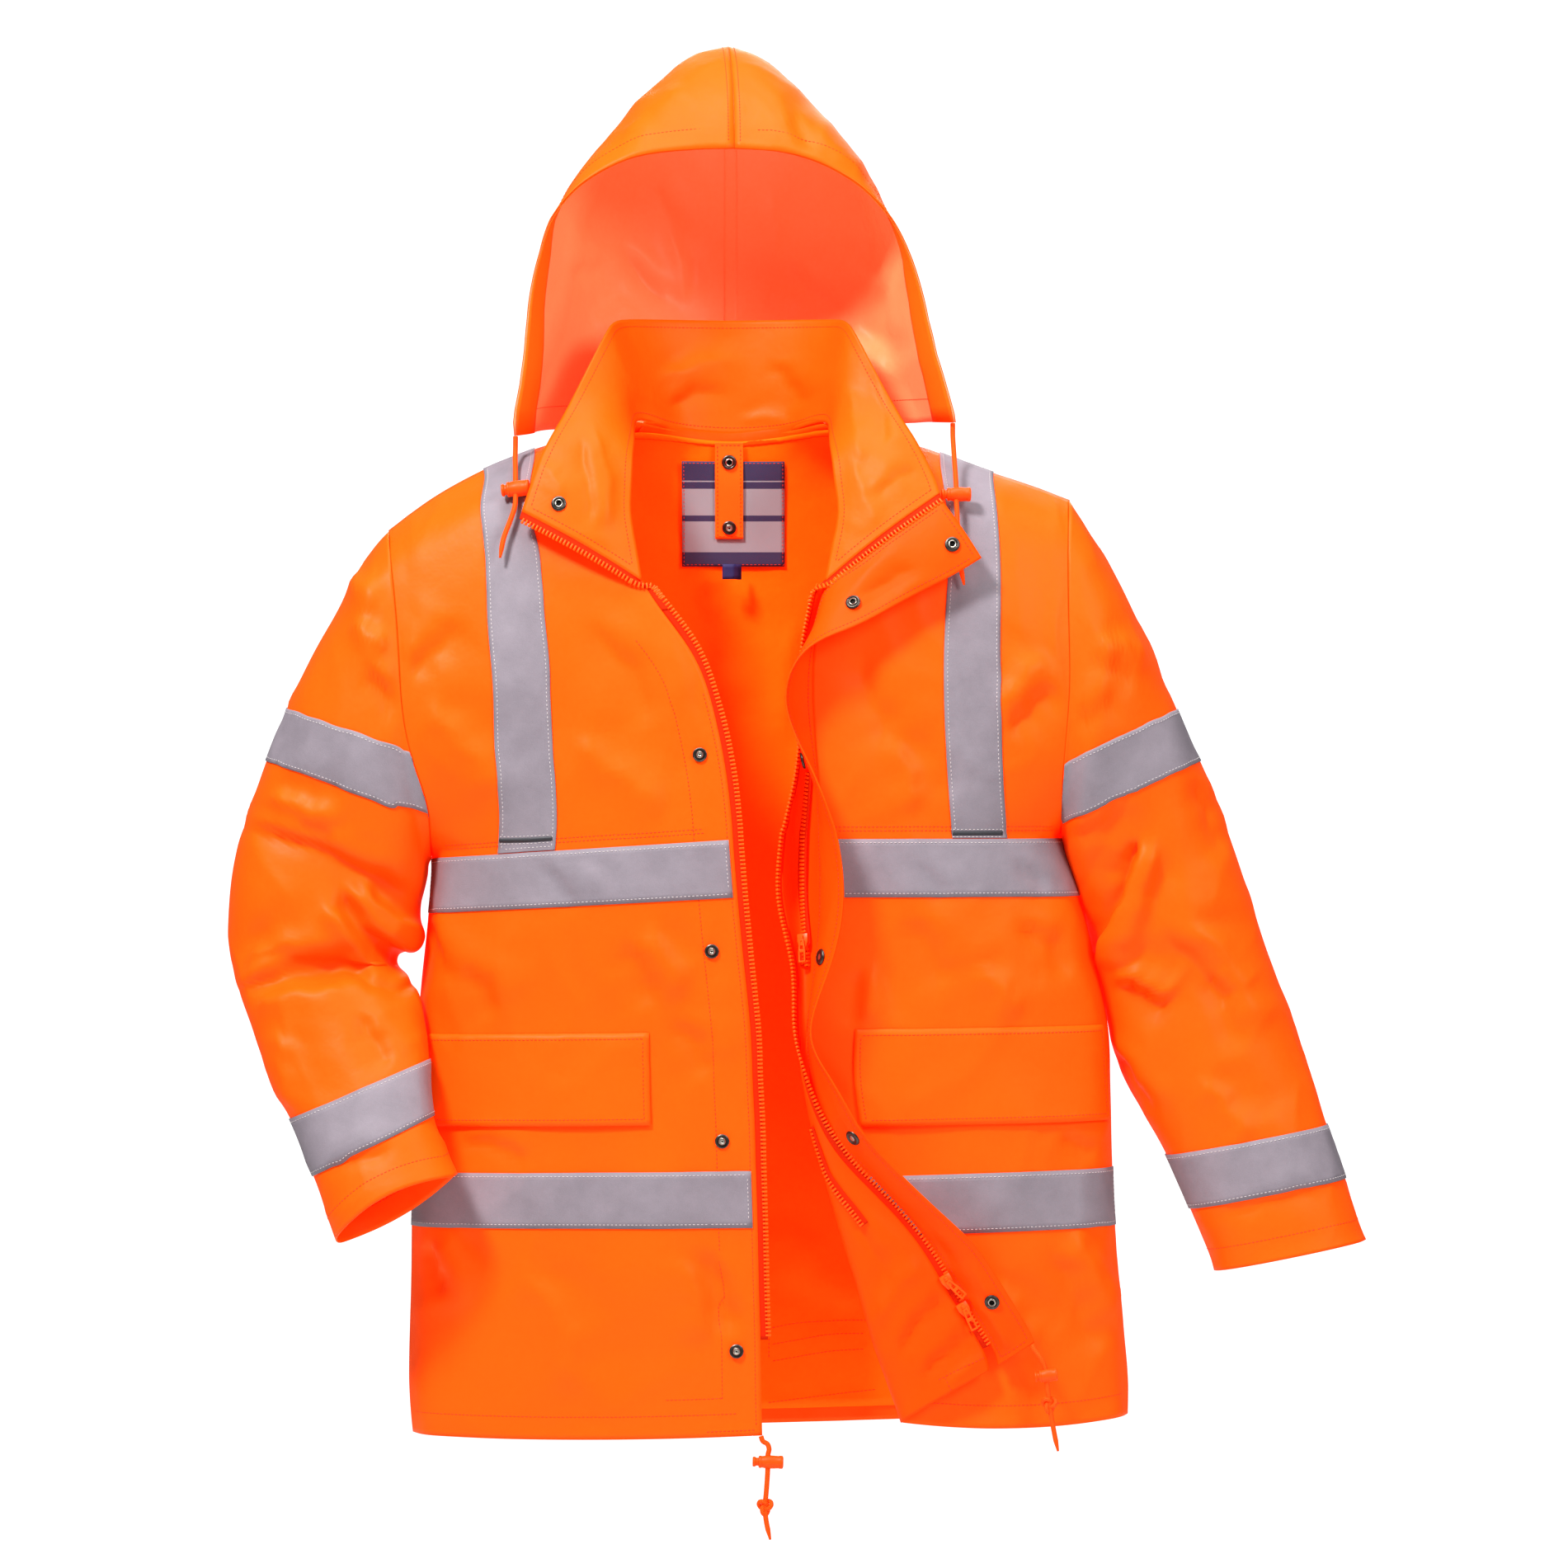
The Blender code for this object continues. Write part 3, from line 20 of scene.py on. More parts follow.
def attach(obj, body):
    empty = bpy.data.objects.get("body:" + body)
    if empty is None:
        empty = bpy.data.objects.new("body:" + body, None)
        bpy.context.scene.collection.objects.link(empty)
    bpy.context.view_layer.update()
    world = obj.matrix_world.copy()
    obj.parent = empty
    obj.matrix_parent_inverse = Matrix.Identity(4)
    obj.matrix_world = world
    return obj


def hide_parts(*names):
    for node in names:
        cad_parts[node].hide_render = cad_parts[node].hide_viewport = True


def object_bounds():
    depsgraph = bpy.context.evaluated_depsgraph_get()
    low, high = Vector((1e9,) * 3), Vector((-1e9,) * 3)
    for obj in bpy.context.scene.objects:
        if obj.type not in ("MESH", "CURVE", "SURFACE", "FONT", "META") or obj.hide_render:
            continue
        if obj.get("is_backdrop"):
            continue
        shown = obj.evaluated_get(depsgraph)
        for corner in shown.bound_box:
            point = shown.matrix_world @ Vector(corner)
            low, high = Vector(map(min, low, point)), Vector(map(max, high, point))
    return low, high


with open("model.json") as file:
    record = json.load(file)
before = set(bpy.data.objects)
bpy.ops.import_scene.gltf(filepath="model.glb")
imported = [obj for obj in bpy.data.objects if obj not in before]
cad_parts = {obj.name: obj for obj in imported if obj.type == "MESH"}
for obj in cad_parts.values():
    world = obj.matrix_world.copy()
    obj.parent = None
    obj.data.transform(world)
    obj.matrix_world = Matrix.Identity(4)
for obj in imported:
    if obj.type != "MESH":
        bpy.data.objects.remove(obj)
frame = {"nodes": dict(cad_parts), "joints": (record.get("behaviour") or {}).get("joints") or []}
cad_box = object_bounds()
nodes = frame["nodes"]
MM = 0.001
scene = bpy.context.scene
bpy.ops.object.select_all(action="DESELECT")

# %% [markdown]
# ## Camera
# A long lens far away keeps the two sleeves at one scale, as catalogue pictures do. The camera
# looks level along +Y at the middle of the jacket, so nothing converges.

# %% Camera
CAMERA_PLACE = (48.5, -7000.0, -285.0)
VIEW_WIDTH = 1387.7  # what the picture takes in at the middle of the jacket

bpy.ops.object.camera_add(
    location=[k * MM for k in CAMERA_PLACE], rotation=(math.radians(90), 0, 0)
)
camera = bpy.context.object
camera.name = "camera"
camera.data.lens = camera.data.sensor_width * 7000.0 / VIEW_WIDTH
camera.data.clip_end = 60.0
scene.camera = camera
print("lens", round(camera.data.lens, 1), "mm")

# %% [markdown]
# ## Drawstrings
# A drawstring is a braided tube that hangs from its eyelet, runs through a toggle and ends in a
# thin sealed tip. It could be a bevelled curve. A mesh tube is used here because its own UV map
# then carries the braid: U goes round the cord and V along it, in turns and in metres.

# %% Where the cords run
CORD_RADIUS = 2.2
CORD_POINTS = 26
CORDS = {
    "hood_right": [
        (-188.5, -17, 21.6), (-188.5, -20, 12), (-188.5, -26, 3), (-188, -36, -7),
        (-187.5, -49, -17), (-187, -60, -28), (-187.5, -67, -42), (-192, -71, -56),
        (-197, -75, -70), (-200, -79, -87),
    ],
    "hood_left": [
        (197.5, -17, 33.3), (197.5, -20, 22), (198, -27, 11), (198.5, -38, 0), (199, -50, -11),
        (199.5, -60, -23), (199.5, -66, -34), (200, -71, -46), (200.5, -75, -60),
        (201.5, -79, -78), (203, -82, -94), (206, -83, -111),
    ],
    "hem_right": [
        (28.3, -79, -855.6), (30, -79.3, -860), (34, -80, -862.5), (35.5, -81, -867),
        (34.5, -81.5, -871.5), (34.5, -82, -878), (34, -82, -890), (33, -82, -904),
        (32, -82, -917), (33, -82, -930), (36.5, -82, -946),
    ],
    "hem_left": [
        (265.5, -86.5, -775.3), (267, -87.5, -779), (273, -89, -787), (276.5, -89, -795),
        (277.5, -89, -802), (279, -89, -814), (280.5, -89, -827), (282.5, -89, -840),
        (285, -89, -854), (288, -89, -868),
    ],
}
KNOTS = {"hem_right": (32.0, -82.0, -917.0), "hem_left": (280.5, -89.0, -827.0)}
print({name: len(places) for name, places in CORDS.items()}, "points by hand")


# %% A smooth route through them
def smooth_route(places, count):
    """A smooth curve through given points, as evenly spaced points along it."""
    route = np.array(places, float)
    ends = [2 * route[0] - route[1]], [2 * route[-1] - route[-2]]
    padded = np.concatenate([ends[0], route, ends[1]])
    fine = []
    for i in range(1, len(padded) - 2):
        a, b, c, d = padded[i - 1 : i + 3]
        for t in np.arange(0.0, 1.0, 0.1):
            square = (2 * a - 5 * b + 4 * c - d) * t**2
            cube = (3 * b - a - 3 * c + d) * t**3
            fine.append(0.5 * (2 * b + (c - a) * t + square + cube))
    fine = np.array([*fine, route[-1]])
    runs = np.linalg.norm(np.diff(fine, axis=0), axis=1)
    length = np.concatenate([[0.0], np.cumsum(runs)])
    at = np.linspace(0.0, 1.0, count) * length[-1]
    return np.stack([np.interp(at, length, values) for values in fine.T], axis=-1)


def unit(vectors):
    """The same directions with a length of one."""
    lengths = np.linalg.norm(vectors, axis=-1, keepdims=True)
    return vectors / np.maximum(lengths, 1e-12)


# %% From points to an object that rides on a body
def mesh_object(name, vertices, faces, uvs=None):
    """A smooth mesh object from points in metres, with a UV corner list if given."""
    mesh = bpy.data.meshes.new(name)
    mesh.from_pydata([tuple(map(float, v)) for v in vertices], [], faces)
    if uvs is not None:
        layer = mesh.uv_layers.new(name="UVMap")
        layer.data.foreach_set("uv", np.array(uvs, np.float32).ravel())
    mesh.shade_smooth()
    made = bpy.data.objects.new(name, mesh)
    scene.collection.objects.link(made)
    return made


def grid_faces(rows, columns):
    """The quads of a grid whose points are given row by row."""
    corners = [i * columns + k for i in range(rows - 1) for k in range(columns - 1)]
    return [[a, a + 1, a + columns + 1, a + columns] for a in corners]


def put_on(made, node=None, body="jacket"):
    """Lets a piece ride on a body, and show in place of a plain solid if one is named."""
    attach(made, body)
    if node is not None:
        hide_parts(node)


# %% A tube along a route
OFF_THE_PATH = (0.3, 1.0, 0.2)  # any direction that no cord runs in


def tube(name, path, radii, sides=12, closed=False):
    """A round tube along a path in metres, with U in turns round it and V in metres along it."""
    path = np.array(path, float)
    count = len(path)
    ahead = np.roll(path, -1, axis=0) - np.roll(path, 1, axis=0)
    if not closed:
        ahead = np.gradient(path, axis=0)
    ahead = unit(ahead)
    side = np.cross(ahead[0], OFF_THE_PATH)
    rings = []
    for i in range(count):
        side = unit(side - ahead[i] * side.dot(ahead[i]))
        over = np.cross(ahead[i], side)
        turns = np.arange(sides) * 2 * math.pi / sides
        circle = np.cos(turns)[:, None] * side + np.sin(turns)[:, None] * over
        rings.append(path[i] + circle * radii[i])
    run = np.concatenate([[0], np.cumsum(np.linalg.norm(np.diff(path, axis=0), axis=1))])
    faces, uvs = [], []
    for i in range(count if closed else count - 1):
        j = (i + 1) % count
        top = run[i] + (run[1] - run[0]) if closed else run[j]
        for k in range(sides):
            m = (k + 1) % sides
            faces.append([i * sides + k, i * sides + m, j * sides + m, j * sides + k])
            for turn, along in ((k, run[i]), (k + 1, run[i]), (k + 1, top), (k, top)):
                uvs.append((turn / sides, along))
    if not closed:
        for ring, order in ((0, -1), (count - 1, 1)):
            faces.append([ring * sides + k for k in range(sides)][::order])
            uvs += [(0.5, run[ring])] * sides
    return mesh_object(name, np.concatenate(rings), faces, uvs)


# %% Four cords with tapered tips, and two overhand knots
TIP, TIP_SHARE = 9.0 * MM, 0.45  # the tip's length, and its radius as a share of the cord's
KNOT_SPREAD = (2.0, 2.2, 2.3)
KNOT_RADIUS = 2.0

cord_pieces = {}
for name, places in CORDS.items():
    coarse = smooth_route(places, CORD_POINTS) * MM
    route = smooth_route(places, 3 * CORD_POINTS) * MM
    runs = np.linalg.norm(np.diff(route, axis=0), axis=1)
    left = np.concatenate([np.cumsum(runs[::-1])[::-1], [0.0]])
    taper = np.clip(left / TIP, 0.0, 1.0)
    radii = CORD_RADIUS * MM * (TIP_SHARE + (1 - TIP_SHARE) * taper)
    made = tube(f"drawstring_{name}", route, radii)
    cord_pieces[name] = [made]
    put_on(made, f"cord_{name}")

for name, place in KNOTS.items():
    turns = np.linspace(0, 2 * math.pi, 72, endpoint=False)
    loop = [
        np.sin(turns) + 2 * np.sin(2 * turns),
        -np.sin(3 * turns) * 0.9,
        np.cos(turns) - 2 * np.cos(2 * turns),
    ]
    path = (np.array(place) + np.stack(loop, axis=-1) * KNOT_SPREAD) * MM
    knot = tube(f"knot_{name}", path, [KNOT_RADIUS * MM] * len(path), 10, closed=True)
    cord_pieces[name].append(knot)
    put_on(knot)

# %% [markdown]
# ## From a plain wall to fine cloth
# Each solid is a closed wall: an outer grid of triangles, the same grid moved in, and a thin rim
# between them. Cloth is easier to work on as one open skin, so the rim is dropped, one side is
# kept, and its triangles are joined back into the rows and columns they came from. The grid is
# smoothed by Subdivision Surface. Because smoothing shrinks a curved shape, the grid is first
# pushed out by what the smoothing would take. The wall comes back at the end with Solidify.

# %% One side of a wall
SHELL = 1.8  # coated shell with its lining, in millimetres
HOOD_CLOTH = 1.2
TRIM = 1.0
SAME_PLACE, SAME_LENGTH = 2e-6, 1.2e-5  # in metres


def wall_side(node, thickness, towards):
    """An open copy of the side of a wall that faces a direction, or its larger side."""
    mesh = bmesh.new()
    mesh.from_mesh(nodes[node].data)
    bmesh.ops.remove_doubles(mesh, verts=mesh.verts, dist=SAME_PLACE)
    rim = [
        face
        for face in mesh.faces
        if any(abs(edge.calc_length() - thickness * MM) < SAME_LENGTH for edge in face.edges)
    ]
    bmesh.ops.delete(mesh, geom=rim, context="FACES")
    loose = set(mesh.faces)
    islands = []
    while loose:
        island, queue = [], [loose.pop()]
        while queue:
            face = queue.pop()
            island.append(face)
            for edge in face.edges:
                for other in edge.link_faces:
                    if other in loose:
                        loose.remove(other)
                        queue.append(other)
        islands.append(island)
    islands = sorted(islands, key=len)[-2:]

    def score(island):
        if towards is None:
            return sum(face.calc_area() for face in island)
        return sum(face.calc_area() * face.normal.dot(towards) for face in island)

    kept = set(max(islands, key=score))
    bmesh.ops.delete(mesh, geom=[f for f in mesh.faces if f not in kept], context="FACES")
    return mesh


# %% Joining its triangles into quads
def join_triangles(mesh):
    """Finds the diagonals by walking from face to face, and dissolves them."""
    mesh.faces.ensure_lookup_table()
    first = mesh.faces[0]
    kind = {edge: number for number, edge in enumerate(first.edges)}
    queue, seen = [first], {first}
    while queue:
        face = queue.pop()
        for edge in face.edges:
            for other in edge.link_faces:
                if other in seen:
                    continue
                here = {}
                for near in face.edges:
                    if near is not edge:
                        shared = (set(near.verts) & set(edge.verts)).pop()
                        here[shared] = kind[near]
                for far in other.edges:
                    if far is not edge:
                        shared = (set(far.verts) & set(edge.verts)).pop()
                        opposite = edge.other_vert(shared)
                        kind.setdefault(far, here[opposite])
                seen.add(other)
                queue.append(other)
    border = {kind[edge] for edge in mesh.edges if edge.is_boundary}
    diagonal = ({0, 1, 2} - border or {0}).pop()
    gone = [edge for edge in mesh.edges if kind[edge] == diagonal and not edge.is_boundary]
    bmesh.ops.dissolve_edges(mesh, edges=gone, use_verts=False)
    return len([face for face in mesh.faces if len(face.verts) != 4])


# %% Rows and columns laid out flat
def grid_uvs(mesh):
    """Lays the rows and columns of a grid out flat, in metres, as a UV map."""
    corner = {}
    mesh.faces.ensure_lookup_table()
    first = mesh.faces[0]
    square = [(0, 0), (1, 0), (1, 1), (0, 1)]
    corner[first] = {v: square[i] for i, v in enumerate(first.verts)}
    queue = [first]
    while queue:
        face = queue.pop(0)
        places = corner[face]
        for edge in face.edges:
            a, b = edge.verts
            for other in edge.link_faces:
                if other in corner or len(other.verts) != 4:
                    continue
                (ia, ja), (ib, jb) = places[a], places[b]
                centre = np.mean(list(places.values()), axis=0)
                step = np.array([(ia + ib) / 2, (ja + jb) / 2]) - centre
                step = np.round(step * 2).astype(int)
                found = {a: (ia, ja), b: (ib, jb)}
                for near, (i, j) in ((a, (ia, ja)), (b, (ib, jb))):
                    for side in other.edges:
                        if near in side.verts and side is not edge:
                            found[side.other_vert(near)] = (i + step[0], j + step[1])
                corner[other] = found
                queue.append(other)
    runs = ({}, {})
    for face, places in corner.items():
        for edge in face.edges:
            (ia, ja), (ib, jb) = places[edge.verts[0]], places[edge.verts[1]]
            axis = 0 if ia != ib else 1
            low = min(ia, ib) if axis == 0 else min(ja, jb)
            runs[axis].setdefault(low, []).append(edge.calc_length())
    scales = []
    for axis in (0, 1):
        at, total = {}, 0.0
        for low in sorted(runs[axis]):
            at[low] = total
            total += float(np.mean(runs[axis][low]))
            at[low + 1] = total
        scales.append(at)
    layer = mesh.loops.layers.uv.new("UVMap")
    for face, places in corner.items():
        for loop in face.loops:
            i, j = places[loop.vert]
            loop[layer].uv = (scales[0][i], scales[1][j])
    return tuple(max(scale.values()) for scale in scales)


# %% Modifiers, and the points of an object
def apply(made, kind, **settings):
    """Adds a modifier to an object and applies it."""
    modifier = made.modifiers.new(kind, kind)
    for setting, value in settings.items():
        setattr(modifier, setting, value)
    bpy.context.view_layer.objects.active = made
    bpy.ops.object.modifier_apply(modifier=modifier.name)


def subdivide(made, levels):
    """Applies a smooth subdivision whose corners stay where they are."""
    corners = "PRESERVE_CORNERS"
    apply(made, "SUBSURF", levels=levels, render_levels=levels, boundary_smooth=corners)


def coords(made):
    """The places of all points of an object, one in a row."""
    flat = np.empty(len(made.data.vertices) * 3)
    made.data.vertices.foreach_get("co", flat)
    return flat.reshape(-1, 3)


def set_coords(made, places):
    """Moves all points of an object to new places."""
    made.data.vertices.foreach_set("co", places.ravel())
    made.data.update()


# %% A fine skin
cuts = {}  # the flat size and area of each cloth, as cut


def fine_skin(name, node, thickness, towards=None, levels=3):
    """The smooth, fine, open skin of a solid's wall, and the size of its flat cloth."""
    grid = wall_side(node, thickness, Vector(towards) if towards else None)
    odd = join_triangles(grid)
    flat = grid_uvs(grid)
    mesh = bpy.data.meshes.new(name)
    grid.to_mesh(mesh)
    grid.free()
    made = bpy.data.objects.new(name, mesh)
    scene.collection.objects.link(made)
    wanted = coords(made)
    for _ in range(2):  # twice is near enough
        trial = made.copy()
        trial.data = made.data.copy()
        scene.collection.objects.link(trial)
        subdivide(trial, 2)
        miss = wanted - coords(trial)[: len(wanted)]
        bpy.data.objects.remove(trial)
        set_coords(made, coords(made) + miss)
    subdivide(made, levels)
    made.data.shade_smooth()
    sizes = sorted(round(k / MM) for k in flat)
    cuts[name] = *sizes, sum(face.area for face in made.data.polygons) / MM**2
    print(f"{name}: {len(made.data.polygons)} quads, cloth {sizes[0]} x {sizes[1]} mm, {odd} odd")
    return made


# %% [markdown]
# ## Creases
# Coated cloth is stiff: between its seams it stays smooth, and where it is pressed together it
# makes a few soft troughs with a ridge beside them. Each crease here is one row of a table: the
# side of the garment, its two ends as seen from the front, how far it bows, its half width and
# its height. A cloth simulation could make them too, but not in chosen places. The height of
# all creases, plus a faint unevenness, moves each point of a skin along its normal.

# %% The table of creases
CREASES = {  # x and z of one end and of the other, bow, half width and height
    "sleeve_right": {
        "front": """
-317 -188 -288 -220 2 9 -3.5,  -329 -144 -301 -166 2 10 2.5,  -355 -103 -308 -118 3 12 2,
-420 -323 -282 -384 4 8 -4,  -402 -298 -347 -315 3 10 3.5,  -376 -319 -348 -334 1 8 -2,
-338 -383 -281 -444 -6 7 -9,  -322 -373 -270 -423 -4 11 5.5,  -351 -394 -300 -452 -4 11 4,
-428 -463 -338 -445 4 7 -4.5,  -338 -445 -271 -463 -3 7 -4,  -424 -437 -351 -421 3 12 3.5,
-416 -481 -337 -466 3 12 3,  -398 -502 -386 -568 3 14 2.2,  -322 -488 -300 -531 3 10 -2.5,
-351 -622 -293 -604 1 7 -1.8""",
        "back": """
-424 -219 -337 -248 4 10 -3.5,  -416 -321 -300 -364 6 9 -4.5,  -409 -299 -322 -321 4 11 3.5,
-431 -444 -293 -466 7 10 -4,  -416 -415 -300 -430 6 12 3.5,  -395 -510 -322 -539 4 10 -3,
-329 -132 -293 -190 4 10 -3""",
    },
    "sleeve_left": {
        "front": """
318 -174 356 -196 1 11 -1.6,  325 -160 367 -175 2 13 1.6,  304 -231 344 -214 2 10 -1.6,
378 -143 398 -200 2 9 -2,  358 -339 347 -371 2 6 -8,  348 -369 316 -437 4 8 -9,
374 -343 335 -430 6 11 5,  303 -334 355 -311 3 9 -1.3,  317 -314 367 -285 3 12 1,
408 -285 438 -345 4 12 -2.8,  345 -463 387 -485 3 9 -3.4,  346 -452 390 -470 3 10 2.4,
423 -456 441 -477 1 8 -2.2,  385 -415 452 -514 6 14 -2.4,  404 -408 470 -495 6 16 2.4,
335 -511 375 -572 -3 7 -2.6,  415 -548 458 -596 4 13 2,  433 -663 521 -644 3 7 -1.4""",
        "back": """
324 -292 404 -248 6 10 -3.8,  332 -350 433 -306 6 10 3.2,  339 -386 426 -357 6 9 -4,
368 -488 462 -452 6 12 -3.2,  375 -466 462 -430 6 12 2.8,  397 -568 477 -539 4 10 -2.6,
324 -147 375 -197 4 11 -3""",
    },
    "front_right": {
        "front": """
-91 -429 -66 -476 3 13 -2.6,  -67 -414 -44 -472 3 13 2,  -164 -357 -132 -391 2 6 -1.4,
-132 -353 -103 -382 2 6 1.2,  -267 -692 -254 -733 3 10 -4,  -247 -681 -233 -746 3 13 2.2,
-20 -699 1 -766 4 10 -2.6,  -41 -702 -20 -771 4 13 2.2,  -175 -710 -132 -818 7 17 1.8,
-233 -450 -204 -486 3 12 -2,  -276 -407 -247 -458 4 10 -2.6,  -276 -191 -233 -148 6 12 -2.6,
-262 -220 -204 -292 6 16 2.2,  -118 -148 -67 -234 6 16 -2,  -132 -249 -60 -313 6 17 2,
-233 -598 -175 -612 2 7 -1.6,  -46 -494 -17 -537 3 12 -2""",
    },
    "front_left": {
        "front": """
246 -238 288 -204 4 12 -2.8,  243 -213 279 -177 4 13 2.4,  113 -449 106 -495 2 10 -2.2,
127 -443 122 -490 2 10 1.6,  257 -407 300 -450 4 12 -2.6,  214 -450 257 -483 4 13 1.8,
156 -407 192 -458 4 13 -1.8,  286 -702 322 -782 5 14 -2.6,  300 -681 336 -753 5 13 2.4,
235 -724 271 -782 4 12 2,  293 -594 322 -610 2 7 -1.8,  113 -177 138 -249 4 14 -2,
142 -249 163 -306 4 14 2,  163 -357 192 -382 2 6 -1.2,  253 -353 279 -378 2 6 -1.2""",
    },
    "back": {
        "back": """
-240 -433 -137 -514 9 14 -3.4,  -211 -403 -107 -469 9 16 3,  218 -447 329 -388 9 14 -3.4,
203 -418 307 -359 7 16 2.8,  -255 -218 -211 -322 7 14 -3.2,  270 -218 233 -322 -7 14 -3.2,
-196 -233 -152 -322 7 16 2.4,  218 -233 181 -322 -7 16 2.4,  -18 -410 11 -603 10 19 -2.6,
33 -418 56 -603 9 19 2.6,  100 -433 92 -588 7 19 -2,  -137 -706 -92 -824 6 16 -2.6,
85 -691 115 -832 7 17 2.4,  263 -691 240 -824 7 16 -2.8,  -240 -543 -137 -595 6 13 -2.4,
196 -588 322 -543 6 13 -2.4,  -78 -144 129 -152 9 17 1.8,  -63 -196 122 -200 7 19 -1.8""",
    },
    "collar": {
        "front": """
-130 16 -122 -58 3 6 -2.2,  -117 27 -106 -60 4 8 1.8,  -141 -71 -104 -83 1 4 -1.3,
-170 -2 -141 -31 2 9 1.6,  124 83 137 14 3 6 -2.2,  106 64 113 -2 3 8 1.8,
128 -31 164 -9 2 7 -1.6,  106 -2 128 -60 3 9 1.4""",
        "any": """
-52 54 -3 64 4 9 -2.4,  -61 78 12 93 4 10 2,  37 88 66 52 3 9 -2.4,  12 42 55 38 2 7 1.6""",
    },
    "hood_right": {
        "back": """
-98 194 -62 155 -4 7 3.4,  -55 209 -47 155 2 7 -3,  -153 167 -117 180 2 9 2.4,
-137 124 -93 139 4 10 -2.6,  -71 250 -41 176 6 13 -2""",
        "front": """
-137 272 -63 309 6 14 -1.6,  -93 287 -34 332 6 16 1.6""",
    },
    "hood_left": {
        "back": """
37 156 67 148 1 6 -3,  59 189 115 140 -5 9 3.6,  130 120 167 79 -3 9 -4.5,
115 198 152 153 4 12 -2.4,  33 243 48 168 4 13 2""",
        "front": """
85 272 56 324 6 14 -1.6,  122 250 85 302 6 16 1.6""",
    },
    "storm_flap": {
        "front": """
116 -120 163 -98 3 9 -1.8,  127 -138 184 -106 3 10 1.8,  66 -192 84 -220 2 9 -2,
91 -636 127 -664 2 7 -2.2,  148 -664 191 -722 3 9 2.4,  177 -679 213 -750 3 8 -2.6,
213 -736 249 -779 3 9 2.2""",
    },
    "facing_left": {
        "front": """
149 -782 199 -724 4 7 -3.4,  127 -753 171 -702 4 9 3,  171 -803 228 -753 4 7 -2.8,
106 -666 142 -724 4 9 -2.4,  192 -810 235 -782 3 6 2.2""",
    },
    "lining_back": {
        "any": """
-92 -395 -62 -543 7 17 -2.2,  11 -432 33 -616 9 19 2.2,  -18 -100 -3 -189 4 13 -2,
56 -145 41 -248 4 13 2,  33 -734 114 -764 4 10 -2.4,  11 -690 85 -705 4 12 2""",
    },
}
UNEVEN = {"lining_back": 1.2, "facing_left": 1.0, "collar": 0.7}
UNEVEN_ELSEWHERE = 1.3
DEEPER = {"back": 1.8, "collar": 1.3, "storm_flap": 1.2, "facing_left": 1.4, "lining_back": 2.0}
DEEPER_ELSEWHERE = 2.5
DEEPEST = 9.0
FLAT_BESIDE_SEAM, LEFT_AT_SEAM = 14.0, 0.12  # creases grow from a share of their height at seams
print(sum(rows.count(",") + 1 for table in CREASES.values() for rows in table.values()), "creases")


# %% Normals, and what belongs to the front
def normals_of(made):
    """The normals of all points of an object, one in a row."""
    flat = np.empty(len(made.data.vertices) * 3, np.float32)
    made.data.vertices.foreach_get("normal", flat)
    return flat.reshape(-1, 3).astype(float)


def front_share(normals):
    """How much each point belongs to the garment's front, from 0 to 1."""
    return 1 / (1 + np.exp(normals[:, 1] * 9))


# %% How high the creases stand at each point
STEEP, SHALLOW = 0.68, 1.3  # how wide a crease's two flanks are, as shares of its half width
PEAK = 1.3  # 2 is a round crease, and less is a sharper one
RIDGE, RIDGE_AT, RIDGE_HALF = 0.42, 1.9, 1.5  # the ridge beside it, in crease heights and widths
FULL_TO, FADES_OVER = 0.32, 0.16  # where it starts to fade from its middle, in lengths
WAVERS = ((0.18, 7, 0.1, 0), (0.1, 17, 0, 1))  # how far, how often, and shares of x0 and z0


def crease_heights(points, normals, table):
    """The sum of the creases at each point, in millimetres."""
    x, z = points[:, 0] / MM, points[:, 2] / MM
    front = front_share(normals)
    weights = {"front": front, "back": 1 - front, "any": 1.0}
    total = np.zeros(len(points))
    for side, rows in table.items():
        for row in rows.split(","):
            x0, z0, x1, z1, bow, half, height = map(float, row.split())
            length = math.hypot(x1 - x0, z1 - z0)
            ux, uz = (x1 - x0) / length, (z1 - z0) / length
            along = ((x - x0) * ux + (z - z0) * uz) / length
            across = (x - x0) * -uz + (z - z0) * ux - 4 * bow * along * (1 - along)
            for far, often, by_x, by_z in WAVERS:
                across = across + far * half * np.sin(along * often + x0 * by_x + z0 * by_z)
            widen = half * (0.6 + 0.6 * np.clip(along, 0, 1))
            past = np.clip(np.abs(along - 0.5) - FULL_TO, 0, None)
            skewed = across / (widen * np.where(across > 0, STEEP, SHALLOW))
            shape = np.exp(-(np.abs(skewed) ** PEAK))
            beside = (across - RIDGE_AT * widen) / (RIDGE_HALF * widen)
            shape = shape - RIDGE * np.exp(-(beside**2))
            total += height * np.exp(-((past / FADES_OVER) ** 2)) * shape * weights[side]
    return total


# %% Unevenness, borders, and the two together
def unevenness(points, seed):
    """Broad, faint swells and a little crumple, in millimetres."""
    found = np.empty(len(points))
    for i, (x, y, z) in enumerate(points):
        place = Vector((x * 7 + seed, y * 7, z * 5))
        warp = noise.noise(place * 1.7) * 0.8
        broad = noise.noise(place + Vector((warp, 0, warp)))
        ridge = 1 - abs(noise.noise(Vector((x * 16, y * 16 + seed, z * 11)) + Vector((warp,) * 3)))
        found[i] = 1.5 * broad + 1.1 * (ridge**4 - 0.55)
    return found


def border_distance(made):
    """How far each point of an open skin is from its border, in metres."""
    mesh = bmesh.new()
    mesh.from_mesh(made.data)
    border = [v.co.copy() for v in mesh.verts if v.is_boundary]
    mesh.free()
    tree = kd_tree(border)
    return np.array([tree.find(v.co)[2] for v in made.data.vertices])


